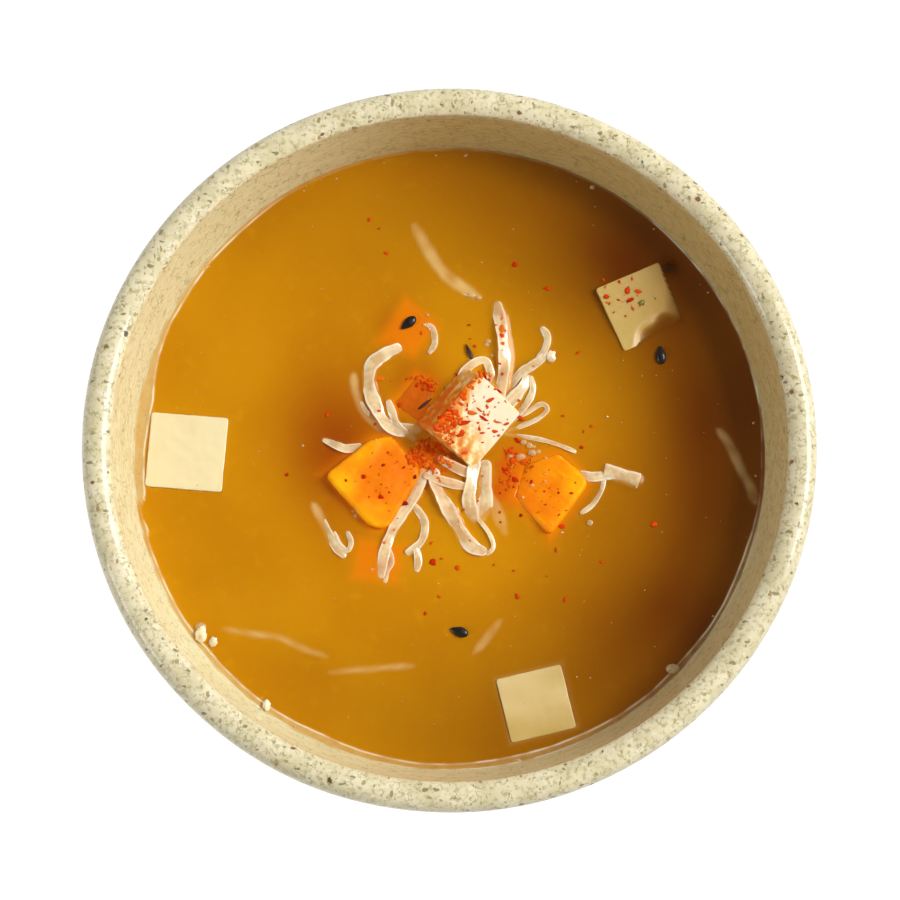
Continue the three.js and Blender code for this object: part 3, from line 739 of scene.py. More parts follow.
class Die:
    """A die cut from an outline, its top face's centre at `top`, turned about Z, then tilted about X and Y.

    `soak` is how far broth has coloured it, and partly painted shade, set higher where less light falls on
    the die. `soak_at` is where a squash die has soaked most. `worn` is a rubbed-down corner as x, y, reach
    and drop.
    """

    def __init__(self, outline, depth, corner, top, turn=0.0, tilt=(0.0, 0.0), rough=0.03, seed=1, soak=1.0,
                 soak_at=(-6, 0), worn=None):
        self.corners = np.array(outline, float)
        self.depth, self.corner, self.rough, self.seed = depth, corner, rough, seed
        self.soak, self.soak_at, self.worn = soak, np.array(soak_at), worn
        self.top = np.array([top[0], top[1], SOUP_LEVEL + top[2]])
        a, b, c = (math.radians(v) for v in (turn, *tilt))
        about_z = np.array([[math.cos(a), -math.sin(a), 0], [math.sin(a), math.cos(a), 0], [0, 0, 1]])
        about_x = np.array([[1, 0, 0], [0, math.cos(b), -math.sin(b)], [0, math.sin(b), math.cos(b)]])
        about_y = np.array([[math.cos(c), 0, math.sin(c)], [0, 1, 0], [-math.sin(c), 0, math.cos(c)]])
        self.turned = about_z @ about_x @ about_y

    def out(self, local):
        """Points in the die's own frame, moved to the bowl's frame."""
        return local @ self.turned.T + self.top

    def wear(self, x, y):
        """How far the top is rubbed down at a point: a smooth step of the distance from the worn corner."""
        if self.worn is None:
            return 0.0 * x
        cx, cy, reach, drop = self.worn
        ragged = WEAR_RAGGED * level_lumps(x, y, 3.0, self.seed)
        return drop * smoothstep(reach + WEAR_OUT, reach - WEAR_IN, np.hypot(x - cx, y - cy) + ragged)

    def outline(self):
        """The outline with each corner replaced by a parabola between points on its two sides."""
        parts = []
        total = len(self.corners)
        for i, here in enumerate(self.corners):
            ends = []
            for other in (self.corners[i - 1], self.corners[(i + 1) % total]):
                side = other - here
                length = np.linalg.norm(side)
                ends.append(here + side / length * min(self.corner, 0.4 * length))
            t = np.linspace(0, 1, CORNER_POINTS)[:, None]
            parts.append((1 - t) ** 2 * ends[0] + 2 * t * (1 - t) * here + t**2 * ends[1])
        loop = np.vstack(parts)
        return even(np.vstack([loop, loop[:1]]), OUTLINE_POINTS + 1)[:-1]

    def surface(self, stain=None):
        """Rings of the outline from the bottom's centre to the top's centre.

        Each ring is the outline moved in by an inset and lifted to a height: flat bottom, quarter-round
        edge, straight side, quarter-round edge, flat top. Random lumps then move the skin along its normal,
        and the wear lowers the top. Broth has soaked in, and painted shade lies, more towards -X on a
        stained die; broth has soaked in about `soak_at` on squash that stands out, and a little unevenly on
        the other tofu.
        """
        loop = self.outline()
        tangent = np.roll(loop, -1, 0) - np.roll(loop, 1, 0)
        inward = unit(np.stack([-tangent[:, 1], tangent[:, 0]], -1))
        bevel = self.corner / 2 if self.corner > TOFU_CORNER else TOFU_BEVEL
        arc = np.linspace(0, math.pi / 2, BEVEL_ROWS)
        insets = np.concatenate([bevel * (1 - np.sin(arc)), np.zeros(SIDE_ROWS), bevel * (1 - np.cos(arc))])
        side = np.linspace(-self.depth + bevel, -bevel, SIDE_ROWS + 2)[1:-1]
        heights = np.concatenate([
            -self.depth + bevel * (1 - np.cos(arc)), side, -bevel + bevel * np.sin(arc),
        ])
        rings = loop[None] + inward[None] * insets[:, None, None]
        rings = np.concatenate([rings, np.broadcast_to(heights[:, None, None], rings.shape[:2] + (1,))], -1)
        shrink = np.concatenate([[0.01], np.linspace(0, 1, LID_ROWS)[1:]])
        lid = rings[-1][None] * np.stack([1 - shrink, 1 - shrink, np.ones(LID_ROWS)], -1)[:, None, :]
        shrink = np.linspace(0, 1, BASE_ROWS + 1)[:-1]
        base = rings[0][None] * np.stack([shrink, shrink, np.ones(BASE_ROWS)], -1)[:, None, :]
        local = np.concatenate([base, rings, lid])
        normal = unit(np.cross(
            np.gradient(local, axis=0), np.roll(local, -1, 1) - np.roll(local, 1, 1),
        ))
        normal[0], normal[-1] = (0, 0, -1), (0, 0, 1)
        facing = np.sign(np.einsum("ijk,ijk->ij", normal, local - (0, 0, -self.depth / 2)))
        normal = normal * np.where(facing == 0, 1, facing)[..., None]
        lump = lumps(local, 4.5, self.seed) + 0.5 * lumps(local, 1.6, self.seed + 1)
        local = local + normal * (self.rough * lump)[..., None]
        local[0], local[-1] = local[0].mean(0), local[-1].mean(0)
        # edge is 1 down the die's sides, where the squash material paints shade
        edge = smoothstep(-0.3 * bevel, -1.6 * bevel, local[..., 2])
        soak = np.full(local.shape[:2], self.soak)
        if stain is not None:
            soak = soak * smoothstep(3, -6, local[..., 0])
        elif self.corner > TOFU_CORNER and self.soak < 1:
            off = np.linalg.norm(local[..., :2] - self.soak_at, axis=-1)
            soak = soak * smoothstep(11, 2, off + 1.5 * lumps(local, 5, self.seed + 2))
        elif self.corner == TOFU_CORNER:
            uneven = 0.06 * lumps(local, 7, self.seed + 3)
            soak = soak * (1 + 0.12 * smoothstep(0, -5.5, local[..., 1]) + uneven)
        points = self.out(local)
        wear = self.wear(points[..., 0], points[..., 1])
        marks = WEAR_STAIN * smoothstep(0, 0.6, wear) if stain is None else stain(local)
        points[..., 2] -= wear * smoothstep(-0.7 * self.depth, -0.5, local[..., 2])
        return closed(points, edge=edge, stain=marks, soak=soak)

    def cover(self, x, y):
        """For points on the broth: the height of the die's top plane there, and how far they are inside."""
        normal = self.turned[:, 2]
        z = self.top[2] - ((x - self.top[0]) * normal[0] + (y - self.top[1]) * normal[1]) / normal[2]
        local = (np.stack([x, y, z], -1) - self.top) @ self.turned
        inside = np.full(x.shape, 1e9)
        total = len(self.corners)
        for i, here in enumerate(self.corners):
            side = self.corners[(i + 1) % total] - here
            side = side / np.linalg.norm(side)
            away = (local[..., 1] - here[1]) * side[0] - (local[..., 0] - here[0]) * side[1]
            inside = np.minimum(inside, away)
        return z - self.wear(x, y), inside


def rectangle(length, width):
    """A rectangle's corners about the origin, anticlockwise."""
    a, b = length / 2, width / 2
    return [(-a, -b), (a, -b), (a, b), (-a, b)]


# each die's soak is partly painted shade: it is set higher, and the die darker, where less light falls, as
# on the right and front tofu and the small squash in the middle
DICE = {
    "tofu_left": Die(rectangle(13.6, 13.3), 6, TOFU_CORNER, (-46.4, 0.4, 0.4), -4.6, seed=11, soak=0.4),
    "tofu_right": Die(rectangle(12.5, 12.3), 11, TOFU_CORNER, (34.2, 26.7, 0.2), 24.1, (3, 5), seed=12,
                      worn=(39.2, 19.2, 5.6, 1.3)),
    "tofu_front": Die(rectangle(11.6, 11.4), 8, TOFU_CORNER, (15.1, -44.1, 0.3), 13.6, seed=13, soak=0.8),
    "tofu_centre": Die(rectangle(13, 11.2), 10.5, TOFU_CORNER, (4.7, 5.4, 3.3), 50, (30, 0), seed=14,
                       soak=0.5),
    "squash_left": Die(
        [(-9.9, 0.2), (-1.9, -9.1), (1.3, -9.3), (7, 0.8), (1.7, 7.4), (-2, 6.5)],
        9, SQUASH_CORNER, (-12, -4, 1.4), 0, (0, 3), rough=0.1, seed=15, soak=0.9, soak_at=(1, 0),
    ),
    "squash_right": Die(
        [(-7.1, -1.1), (-0.7, -8.2), (6.4, 1.3), (1.2, 6.9), (-5.4, 5.2)],
        9, SQUASH_CORNER, (18.2, -6.4, 0.7), 0, (-6, -7), rough=0.1, seed=16, soak=0.9,
    ),
    "squash_centre": Die(
        [(-4.2, -1.6), (1.1, -5.1), (3.1, 1.6), (0, 3.4)],
        5, SQUASH_CORNER / 2, (-5.9, 10.6, 0.2), 0, (0, -3), rough=0.1, seed=17, soak=1.65,
    ),
}

# wholly under the broth
SUNK_DICE = {
    "squash_sunk_back": Die(
        [(-5.6, -2.6), (1.2, -5.4), (5.2, 0.6), (-0.4, 5.2)],
        5, SQUASH_CORNER, (-7.4, 23, -0.9), 0, (4, -6), rough=0.2, seed=18,
    ),
    "squash_sunk_front": Die(
        [(-4.6, -3), (3.6, -4.2), (4.8, 2.8), (-3.2, 3.9)],
        5, SQUASH_CORNER, (-12.6, -19, -1.3), 0, (5, 5), rough=0.2, seed=19,
    ),
}


def centre_stain(local):
    """Chili oil on the middle die: patches, stronger on its left-hand side and along its upper edge."""
    field = smoothstep(-1.1, 1.0, lumps(local, 2.0, 33) + 0.5 * lumps(local, 0.8, 34))
    left = smoothstep(-1.0, -6.3, local[..., 0] - 0.4 * local[..., 1])
    upper = smoothstep(2.6, 5.6, local[..., 1])
    facet = smoothstep(4.4, 5.4, local[..., 1]) * smoothstep(2.5, -3.5, local[..., 0])
    thin = 0.52 * smoothstep(4.0, -4, local[..., 0] - 0.5 * local[..., 1])
    strong = np.maximum(0.48 * left, 0.72 * upper) * (0.2 + 0.8 * field)
    return np.clip(thin * field + strong + 0.4 * facet, 0, 1)


# ---- shreds ----

STRIP_THICKNESS = 0.5
# what a shred's route rises over LOW_LAY is pressed down to this share
LOW_LAY = 0.15
LAID_SHARE = 0.6
EDGE_LIFT = 0.16
RIDGE_HEIGHT = 0.008
# a shred rolls by this much, in radians, and at this rate per millimetre
ROLL, ROLL_RATE = 0.35, 0.4
SIDES = 24
PATH_POINTS = 240
ROW_SPACING = 0.34


class Strip:
    """A ribbon along a smooth curve through `route`, given as x, y and height over the broth.

    `end_share` is its width near the ends over its width in the middle, `curl` how far its edges turn up,
    and `stain` how strongly chili oil colours it. Its start fixes its small waves.
    """

    def __init__(self, width, route, end_share=0.7, curl=0.5, stain=0.0):
        self.width, self.end_share, self.curl, self.stain = width, end_share, curl, stain
        self.seed = route[0][0] * 1.3 + route[0][1] * 0.7
        path = even(spline(route, PATH_POINTS), PATH_POINTS)
        height = path[:, 2]
        path[:, 2] = np.where(height > LOW_LAY, LOW_LAY + LAID_SHARE * (height - LOW_LAY), height)
        self.path = path + (0, 0, SOUP_LEVEL)
        self.length = np.linalg.norm(np.diff(self.path, axis=0), axis=1).sum()
        self.steps = np.linspace(0, self.length, PATH_POINTS)

    def at(self, along, values):
        """What is given along the path, read at these distances."""
        return np.stack([np.interp(along, self.steps, values[:, k]) for k in range(3)], -1)

    def rows(self):
        """Distances along the ribbon, close together in its two round ends, and the length of an end."""
        round_end = min((0.3 if self.end_share < 0.9 else 0.08) * self.width, 0.2 * self.length)
        start = round_end * (1 - np.cos(np.linspace(0, math.pi / 2, 7)))
        middle = np.linspace(round_end, self.length - round_end, max(10, int(self.length / ROW_SPACING)))
        return np.concatenate([start[1:-1], middle, self.length - start[1:-1][::-1]]), round_end

    def half_width(self, along, round_end):
        """Half the width: full in the middle, less within a width of an end, and a quarter circle at it."""
        from_end = np.minimum(along, self.length - along)
        share = self.end_share + (1 - self.end_share) * np.clip(from_end / self.width, 0, 1)
        waves = 1 + 0.08 * np.sin(along * 0.9 + self.seed) + 0.03 * np.sin(along * 2.6 + 2.3 * self.seed)
        cap = np.sqrt(1 - (1 - np.clip(from_end / round_end, 0, 1)) ** 2)
        return self.width / 2 * share * waves * cap

    def surface(self):
        """A curled oval section carried along the path.

        Across it is w cos q. Up it is t sin q, less towards the edges, plus the curled edges' lift as
        cos^2 q and three shallow ridges along the leaf. The section also rolls slowly as a sine of the
        distance.
        """
        along, round_end = self.rows()
        path = self.at(along, self.path)
        tangent = unit(self.at(along, np.gradient(self.path, self.steps, axis=0)))
        side = unit(np.cross((0.0, 0.0, 1.0), tangent))
        lift = np.cross(tangent, side)
        roll = ROLL * np.sin(along * ROLL_RATE + 1.7 * self.seed)[:, None]
        side, lift = side * np.cos(roll) + lift * np.sin(roll), lift * np.cos(roll) - side * np.sin(roll)
        q = np.linspace(0, TAU, SIDES, endpoint=False)
        half = self.half_width(along, round_end)
        fullness = (half / half.max())[:, None]
        flat = STRIP_THICKNESS / 2 * min(1.0, 0.5 + self.width / 2.8) * np.sqrt(fullness)
        across = half[:, None] * np.cos(q)
        ridges = RIDGE_HEIGHT * np.cos(9 * np.cos(q) + self.seed + 0.3 * along[:, None]) * np.abs(np.sin(q))
        lifted = EDGE_LIFT * self.curl * self.width * np.cos(q) ** 2 * fullness
        up = flat * np.sin(q) * (1 - 0.5 * np.cos(q) ** 2) + lifted + ridges * fullness
        ring = path[:, None] + side[:, None] * across[..., None] + lift[:, None] * up[..., None]
        ends = [np.repeat(self.path[k][None, None], SIDES, 1) for k in (0, -1)]
        points = np.concatenate([ends[0], ring, ends[1]])
        distance = np.concatenate([[0], along, [self.length]])[:, None]
        weave = np.stack(np.broadcast_arrays(distance, np.cos(q)[None], self.seed * 0.37), -1)
        return closed(points, weave=weave, stain=np.full(points.shape[:2], self.stain))

    def cover(self, x, y):
        """For points on the broth: the ribbon's height where its path is nearest, and how far inside."""
        best = np.full(x.shape, 1e9)
        height = np.full(x.shape, -1e9)
        along, round_end = self.rows()
        path = self.at(along, self.path)
        half = np.minimum(self.half_width(along, round_end), np.minimum(along, self.length - along) + 0.1)
        for (px, py, pz), reach in zip(path[::2], half[::2]):
            gap = np.hypot(x - px, y - py) - reach
            nearer = gap < best
            best = np.where(nearer, gap, best)
            height = np.where(nearer, pz, height)
        return height + 0.35 * STRIP_THICKNESS, -best


TANGLE = [
    # left, curling round to the back
    Strip(2.4, [(-8.5, 19.4, 0.2), (-11.5, 18, 0.5), (-14, 15.5, 0.6), (-13.9, 10.8, 0.6),
                (-10.6, 5, 0.3), (-5, 4.5, -0.6)]),
    Strip(1.6, [(-17, 14.7, -0.5), (-16.6, 11.1, -0.3), (-15, 7.5, -0.2), (-11.6, 4.6, -0.4),
                (-6, 3.6, -0.9)]),
    Strip(1.4, [(-10.9, 9.8, 0.4), (-10.1, 7.5, 0.5), (-9.2, 5.2, 0.2), (-6, 2.6, -0.6)]),
    # back
    Strip(1.5, [(1.6, 12.6, -0.6), (2.4, 14.6, 0.6), (4.4, 16.4, 1), (6.3, 16.8, 0.9),
                (7.2, 14.8, 0.4), (7.6, 11, -0.8)]),
    Strip(2.1, [(8.5, 27.6, 0.4), (9.2, 22.5, 0.9), (9.7, 17, 1.2), (9.3, 12.6, 0.7),
                (8.4, 8.6, -0.7)], stain=0.12),
    Strip(1.6, [(17.4, 18.4, 0.3), (16, 16.9, 0.5), (14.3, 15.7, 0.7), (12.2, 14.2, 0.4), (9, 9.5, -0.9)]),
    Strip(1.3, [(16.3, 23, 0.3), (17.4, 21.2, 0.5), (17, 19, 0.5), (15.2, 16.4, 0.4)]),
    # right
    Strip(2.2, [(13.7, 14.6, 0.1), (13.4, 12.6, 0.5), (11.8, 10.6, 0.6), (9, 7.5, -0.4)]),
    Strip(1.2, [(14.4, 14.2, 0.1), (14.7, 11.4, 0.4), (13.2, 8.4, 0.4), (10, 5, -0.5)]),
    Strip(0.9, [(10.2, 4.2, -0.4), (15.2, 6.1, 0.3), (17.3, 8, 0.4), (16.2, 9, 0.4), (13.4, 7.3, 0.3),
                (10.4, 6, -0.3)]),
    Strip(0.8, [(9.5, 3.8, -0.5), (15.4, 2.8, 0.2), (19.2, 1.7, 0.3), (22.4, 0.4, 0.1)]),
    # front
    Strip(2.4, [(-3, -2.5, 0.3), (-2, -6.4, 0.8), (0.9, -11.8, 0.6), (3.7, -16.2, 0.4),
                (6.6, -17.6, 0.2)], stain=0.1),
    Strip(0.8, [(4.8, -11.2, 0.1), (7, -14.2, 0.5), (7.7, -16.6, 0.4), (6.4, -18, 0.2)]),
    Strip(2.4, [(4.6, -0.5, 0.7), (4, -4.6, 0.7), (3.4, -8.2, 0.5), (4.6, -12, 0)]),
    Strip(2.6, [(6.3, -1, 0.5), (6.3, -5.8, 0.1), (6.2, -9.4, -0.1), (5.2, -12.3, -0.3)]),
    Strip(1.7, [(-4.6, -3.6, 0.6), (-1.1, -4.9, 0.9), (3.4, -5.9, 0.5)], stain=0.25),
    Strip(1.8, [(-2, -0.6, 0.8), (1.1, -2.4, 0.9), (4, -3.8, 0.6)], stain=0.3),
    # front left
    Strip(1.9, [(-4.4, -2.6, 0), (-6, -7.4, 0.4), (-9.2, -12, 0.4), (-11.3, -17, 0.3), (-12, -22.1, 0.1)]),
    Strip(1.4, [(-6.4, -8.8, 0.3), (-4.4, -12, 0.3), (-4.9, -15.4, 0.3), (-7.7, -17.8, 0.1)]),
    Strip(1.3, [(-5.9, -16.4, 0.2), (-5.5, -18.8, 0.2), (-5.7, -21, 0.1)]),
    Strip(0.9, [(-10.6, -16.8, 0.2), (-10.1, -19.3, 0.3), (-10.9, -20.8, 0.2), (-11.3, -22.9, 0)]),
]

LOOSE = {
    "shred_left": [
        Strip(1.6, [(-24.1, -8.6, -0.5), (-22, -12.6, -0.25), (-20, -16.3, 0.1), (-18.3, -18.4, 0.15)]),
        Strip(0.9, [(-20.4, -13.8, 0.1), (-19.3, -16, 0.4), (-17.9, -17.2, 0.4), (-17.3, -15.6, 0.3),
                    (-18, -13.7, 0.1)]),
    ],
    "shred_far_left": [Strip(1.5, [(-22.4, 2.8, -0.1), (-20, 1.6, 0.2), (-18.1, 1, 0.2), (-15.4, 1.6, 0)])],
    "shred_back": [Strip(1.1, [(-4, 23.6, 0), (-2.9, 22.5, 0.2), (-2.6, 20, 0.3), (-3.7, 18.1, 0.1)])],
    "shred_right": [
        Strip(1.9, [(22.6, -3.4, -0.2), (24.8, -4, 0.3), (26.8, -3.9, 0.4), (28.4, -3.1, 0.5)], 0.6, 0.3),
        Strip(2.7, [(27.2, -3.1, 0.6), (28.4, -3.3, 0.8), (30.8, -4, 0.8), (33.5, -4.9, 0.7)], 1.0, 0.1),
        Strip(0.9, [(27.3, -3.2, 0.3), (26.9, -6.2, 0.3), (25.2, -9, 0.3), (23, -10.6, 0.1)]),
    ],
}

# wholly under the broth
SUNK_STRIPS = [
    Strip(2.2, [(-6.5, 42, -1.1), (-4, 37.3, -0.8), (-1.2, 33.1, -0.6), (1.5, 30.8, -0.55),
                (5.6, 28.2, -0.4)], 0.4),
    Strip(1.8, [(47.4, 4.6, -1.2), (49, 2.5, -0.9), (50.4, -0.2, -0.7), (51.6, -3, -0.7),
                (53, -5.8, -0.7), (54, -9, -0.8)], 0.5),
    Strip(1.3, [(-39.6, -31, -1.1), (-34.2, -31.9, -0.8), (-29.8, -32.5, -0.7), (-25.3, -34.6, -0.9),
                (-21.3, -35.9, -1.2)], 0.4),
    Strip(1.3, [(-21.2, -38.6, -1.3), (-14.6, -38.1, -0.9), (-10.1, -37.7, -0.8), (-6.1, -37.5, -1.1)], 0.4),
    Strip(1.6, [(9.1, -29.2, -1.3), (6.4, -32.8, -0.9), (4.1, -35.5, -1.0)], 0.4),
    Strip(2.2, [(7.3, -7.2, -0.8), (8.5, -10.6, -0.8), (9.9, -14.4, -1.2)], 0.5),
]


# x, y, height over the broth and radius
TANGLE_BUD = (18, 17.6, 0.3, 0.95)
WALL_BUDS = [(-43.4, -32, 0.5, 1.2), (-41.3, -33.3, 0.3, 0.8), (-31.9, -44.4, 0.6, 0.8)]
# a bud's proportions, and the place across a shred whose look it takes, close to the edge
BUD_SHAPE, BUD_UNEVEN = (0.8, 1.1, 0.42), 0.3
BUD_LOOK = (0, 0.85, 0)
# the tangle's middle: its centre, how deep that lies, its half sizes, and its unevenness and stain
CORE_CENTRE, CORE_DEPTH = (1, 1.5), 3.9
CORE_SIZE = (13, 12, 4)
CORE_UNEVEN, CORE_STAIN = 0.03, 0.9


def tangle_core():
    """The tangle's middle: a flat dome, an ellipsoid whose top just clears the broth."""
    centre = np.array([*CORE_CENTRE, SOUP_LEVEL - CORE_DEPTH])
    egg = ball(30, 64) * CORE_SIZE
    points = centre + egg * (1 + CORE_UNEVEN * lumps(egg, 4, 9))[..., None]
    points[0], points[-1] = points[0].mean(0), points[-1].mean(0)
    return closed(points, weave=np.zeros(points.shape), stain=np.full(points.shape[:2], CORE_STAIN))


def bud(x, y, height, radius):
    """A leek scrap: a flattened egg, its radius uneven by direction."""
    egg = ball(14, 20)
    swell = 1 + BUD_UNEVEN * lumps(egg * 3 + (x, y, 0), 3, 4)[..., None]
    points = egg * radius * swell * BUD_SHAPE + (x, y, SOUP_LEVEL + height)
    points[0], points[-1] = points[0].mean(0), points[-1].mean(0)
    return closed(points, weave=0.15 * egg + BUD_LOOK, stain=np.zeros(points.shape[:2]))


# ---- the broth ----

ALL_STRIPS = [*TANGLE, *sum(LOOSE.values(), [])]
UNDER = [*SUNK_DICE.values(), *SUNK_STRIPS]
SUNK_SEED = (39.2, 33.9)
SUNK_SEED_CLEAR = 0.72
SUNK_SEED_REACH = 1.5
# the broth climbs a die by this share of its height, and dips inside it this much faster than it rises
DIE_CLIMB_SHARE = 0.5
DIE_DIP_SHARE = 1.2
# how clear the broth is over a wholly sunk die
UNDER_CLEAR = 0.15
# the glow of squash through the broth, round a die that stands out and over a sunk one
GLOW_OUT, GLOW_UNDER = 0.6, 1.1
GLOW_REACH = 1.1
GLOW_DEPTH = 3.5
# painted light: the pale halo round a soaked tofu die, where the broth meets its edge
HALO = 0.16
HALO_REACH = 0.3
HALO_DEPTH = 2.5


def broth_height(x, y, covers):
    """The broth's height at each point.

    It stands level but for a few hundredths. It rises as exp(-distance / reach) at the wall, and at each
    piece that comes out of it. Inside a die that comes out, it dips out of sight.
    """
    radius = np.hypot(x, y)
    rise = WALL_CLIMB * np.exp(-(SOUP_RADIUS + 0.3 - radius) / WALL_REACH)
    climb, dip = np.zeros(x.shape), np.zeros(x.shape)
    for (height, inside), part in covers:
        over = height - SOUP_LEVEL
        if isinstance(part, Die):
            lift = DIE_CLIMB_SHARE * np.clip(over - 0.05, 0, PIECE_CLIMB)
            fall = DIE_DIP_SHARE * np.clip(over + 0.35, 0, 0.9)
            dip = np.maximum(dip, fall * smoothstep(0.2, 0.9, inside))
        else:
            lift = np.clip(over - 0.55 * STRIP_THICKNESS, 0, PIECE_CLIMB)
        climb = np.maximum(climb, lift * np.exp(-np.maximum(-inside, 0) / PIECE_REACH))
    return SOUP_LEVEL + rise + 0.03 * level_lumps(x, y, 16, 21) + (climb - dip) * (radius < SOUP_RADIUS)


def broth_state(x, y):
    """The broth's height, veil, glow and pale share at each point, from the pieces in it and under it.

    The veil is 1, and over a die 1 - exp(-depth / clear depth), with an edge that is softer the deeper it
    lies. Over a wholly sunk die it stays nearly 1, and over the sunk seed it has one soft patch. The glow of
    squash is exp(-(distance / reach)^1.4), fading with depth. The pale share is a smooth step over each
    shred, fading with depth and patchy over the sunk ones, and exp(-distance / reach) round a tofu die that
    has soaked some of the way.
    """
    covers = [(part.cover(x, y), part) for part in [*DICE.values(), *ALL_STRIPS]]
    z = broth_height(x, y, covers)
    clear, glow, pale = np.zeros(x.shape), np.zeros(x.shape), np.zeros(x.shape)
    patchy = 1 + 0.4 * level_lumps(x, y, 3.0, 23)
    covers += [(part.cover(x, y), part) for part in UNDER]
    for (height, inside), part in covers:
        depth = np.maximum(z - height, 0)
        is_sunk = part in UNDER
        if isinstance(part, Strip):
            share = 0.5 * patchy if is_sunk else 0.25 + 0.3 * smoothstep(0, 0.3, depth)
            near = smoothstep(-0.3, 0.6, inside) * np.exp(-np.maximum(depth - 0.3, 0) / 0.9)
            pale = np.maximum(pale, share * near)
            continue
        start = 0.3 * part.corner
        soft = smoothstep(start, start + 0.25 + 0.7 * depth, inside)
        clear = np.maximum(clear, soft * np.exp(-depth / CLEAR_DEPTH) * (UNDER_CLEAR if is_sunk else 1))
        away = np.maximum(-inside, 0)
        if part.corner != TOFU_CORNER:
            near = smoothstep(-1.6, 1.8, inside) if is_sunk else np.exp(-(away / GLOW_REACH) ** 1.4)
            strength = GLOW_UNDER if is_sunk else GLOW_OUT
            glow = np.maximum(glow, strength * near * np.exp(-depth / GLOW_DEPTH))
        elif part.top[2] < SOUP_LEVEL + 1:
            # painted light: a pale halo round the tofu die's edge
            soaked = smoothstep(0.35, 0.7, part.soak) * smoothstep(1.0, 0.75, part.soak)
            near = soaked * np.exp(-away / HALO_REACH)
            pale = np.maximum(pale, HALO * near * np.exp(-depth / HALO_DEPTH))
    clear = np.maximum(clear, SUNK_SEED_CLEAR * soft_patch(x, y, SUNK_SEED, SUNK_SEED_REACH))
    return z, 1 - clear, glow, pale


# soft patches of shade from the pile, and of chili oil by the middle die: centre, reach and strength
SHADE_PATCHES = (
    ((-20, 2), (11.4, 15.8), 0.85), ((-6, 12.5), (6.5, 6), 0.6), ((3, 2), (11, 11), 0.4),
    ((-9.5, 22.5), (4, 4.5), 0.5), ((20, -9), (16, 19), 0.12),
)
OIL_PATCHES = (
    ((-3.4, -1.2), (3.6,), 0.75), ((11.6, -1.8), (3.4,), 0.8), ((10.2, -6.8), (2.8,), 0.9),
    ((-4.6, 12.6), (2.4,), 0.5),
)


def broth_shade(x, y):
    """The pile's shade: the strongest of the soft patches at each point."""
    return np.maximum.reduce([
        strength * soft_patch(x, y, centre, *reach) for centre, reach, strength in SHADE_PATCHES])


def broth_oil(x, y):
    """Chili oil on the broth: the sum of the soft patches, broken up by lumps."""
    strong = sum(strength * soft_patch(x, y, centre, *reach) for centre, reach, strength in OIL_PATCHES)
    return np.clip(strong * (1 + 0.45 * level_lumps(x, y, 2.2, 61)), 0, 0.85)


# painted shade from the bowl's wall on the broth: brownest in this direction, in degrees, and no browner
# than this share
WALL_SHADE_SIDE = 6
WALL_SHADE_GAIN, WALL_SHADE_MOST = 1.1, 0.96
# the painted shade browns it from this radius on, over a run that is shorter by this much on the shaded side
WALL_SHADE_START = 14
WALL_SHADE_RUN, WALL_SHADE_RUN_LESS = 41, 8
# on the shaded side the painted shade eases again by this share, between these radii
WALL_SHADE_EASING, WALL_SHADE_EASING_RADII = 0.08, (44, 52)


def broth_wall_shade(x, y):
    """Painted shade from the bowl's wall: browner towards the wall, most of all on the +X side.

    The share goes by direction as 1 + cos, times a smooth step of the radius, steeper on the shaded side,
    where a little of it goes again close to the wall.
    """
    radius, angle = np.hypot(x, y), np.arctan2(y, x)
    uneven = 1 + 0.06 * level_lumps(x, y, 26, 51)
    toward = 0.5 + 0.5 * np.cos(angle - math.radians(WALL_SHADE_SIDE))
    outward = (radius - WALL_SHADE_START) / (WALL_SHADE_RUN - WALL_SHADE_RUN_LESS * toward)
    share = np.minimum(WALL_SHADE_GAIN * toward, WALL_SHADE_MOST) * smoothstep(0, 1, outward)
    paler = WALL_SHADE_EASING * toward**2 * smoothstep(*WALL_SHADE_EASING_RADII, radius)
    return np.clip(share * uneven * (1 - paler), 0, 1)


# the painted glints on the meniscus at the wall, and the pale band between them, with its painted reflection
# of the lit wall: direction in degrees, the band's width, its lines' strength, and its own
MENISCUS_GLINTS = np.array([
    (0, 0.5, 0.1, 0.0), (12, 0.1, 0.6, 0.0), (24, 0.1, 0.2, 0.0), (38, 0.1, 0.6, 0.0),
    (60, 0.1, 0.05, 0.0), (122, 0.4, 0.1, 0.1), (132, 0.7, 0.75, 0.5), (145, 1.0, 0.95, 0.85),
    (154, 0.7, 0.8, 0.6), (160, 1.2, 0.9, 0.85), (169, 1.9, 1.0, 0.9), (183, 1.7, 1.0, 0.9),
    (188, 1.4, 1.0, 0.9), (190, 0.5, 0.1, 0.1), (192, 0.5, 0.1, 0.1), (194, 1.0, 0.9, 0.6),
    (196, 0.5, 0.1, 0.2), (199, 0.6, 0.7, 0.5), (206, 0.8, 0.9, 0.7), (213, 1.0, 0.7, 0.7),
    (219, 1.2, 0.8, 0.75), (234, 1.2, 0.85, 0.8), (250, 1.1, 0.7, 0.6), (268, 1.0, 0.5, 0.3),
    (285, 1.2, 0.7, 0.4), (310, 0.9, 0.4, 0.2), (332, 0.9, 0.9, 0.4), (342, 0.8, 0.9, 0.3),
    (350, 0.5, 0.2, 0.0), (360, 0.5, 0.1, 0.0),
])


INNER_LINE, OUTER_LINE = 0.14, 0.16


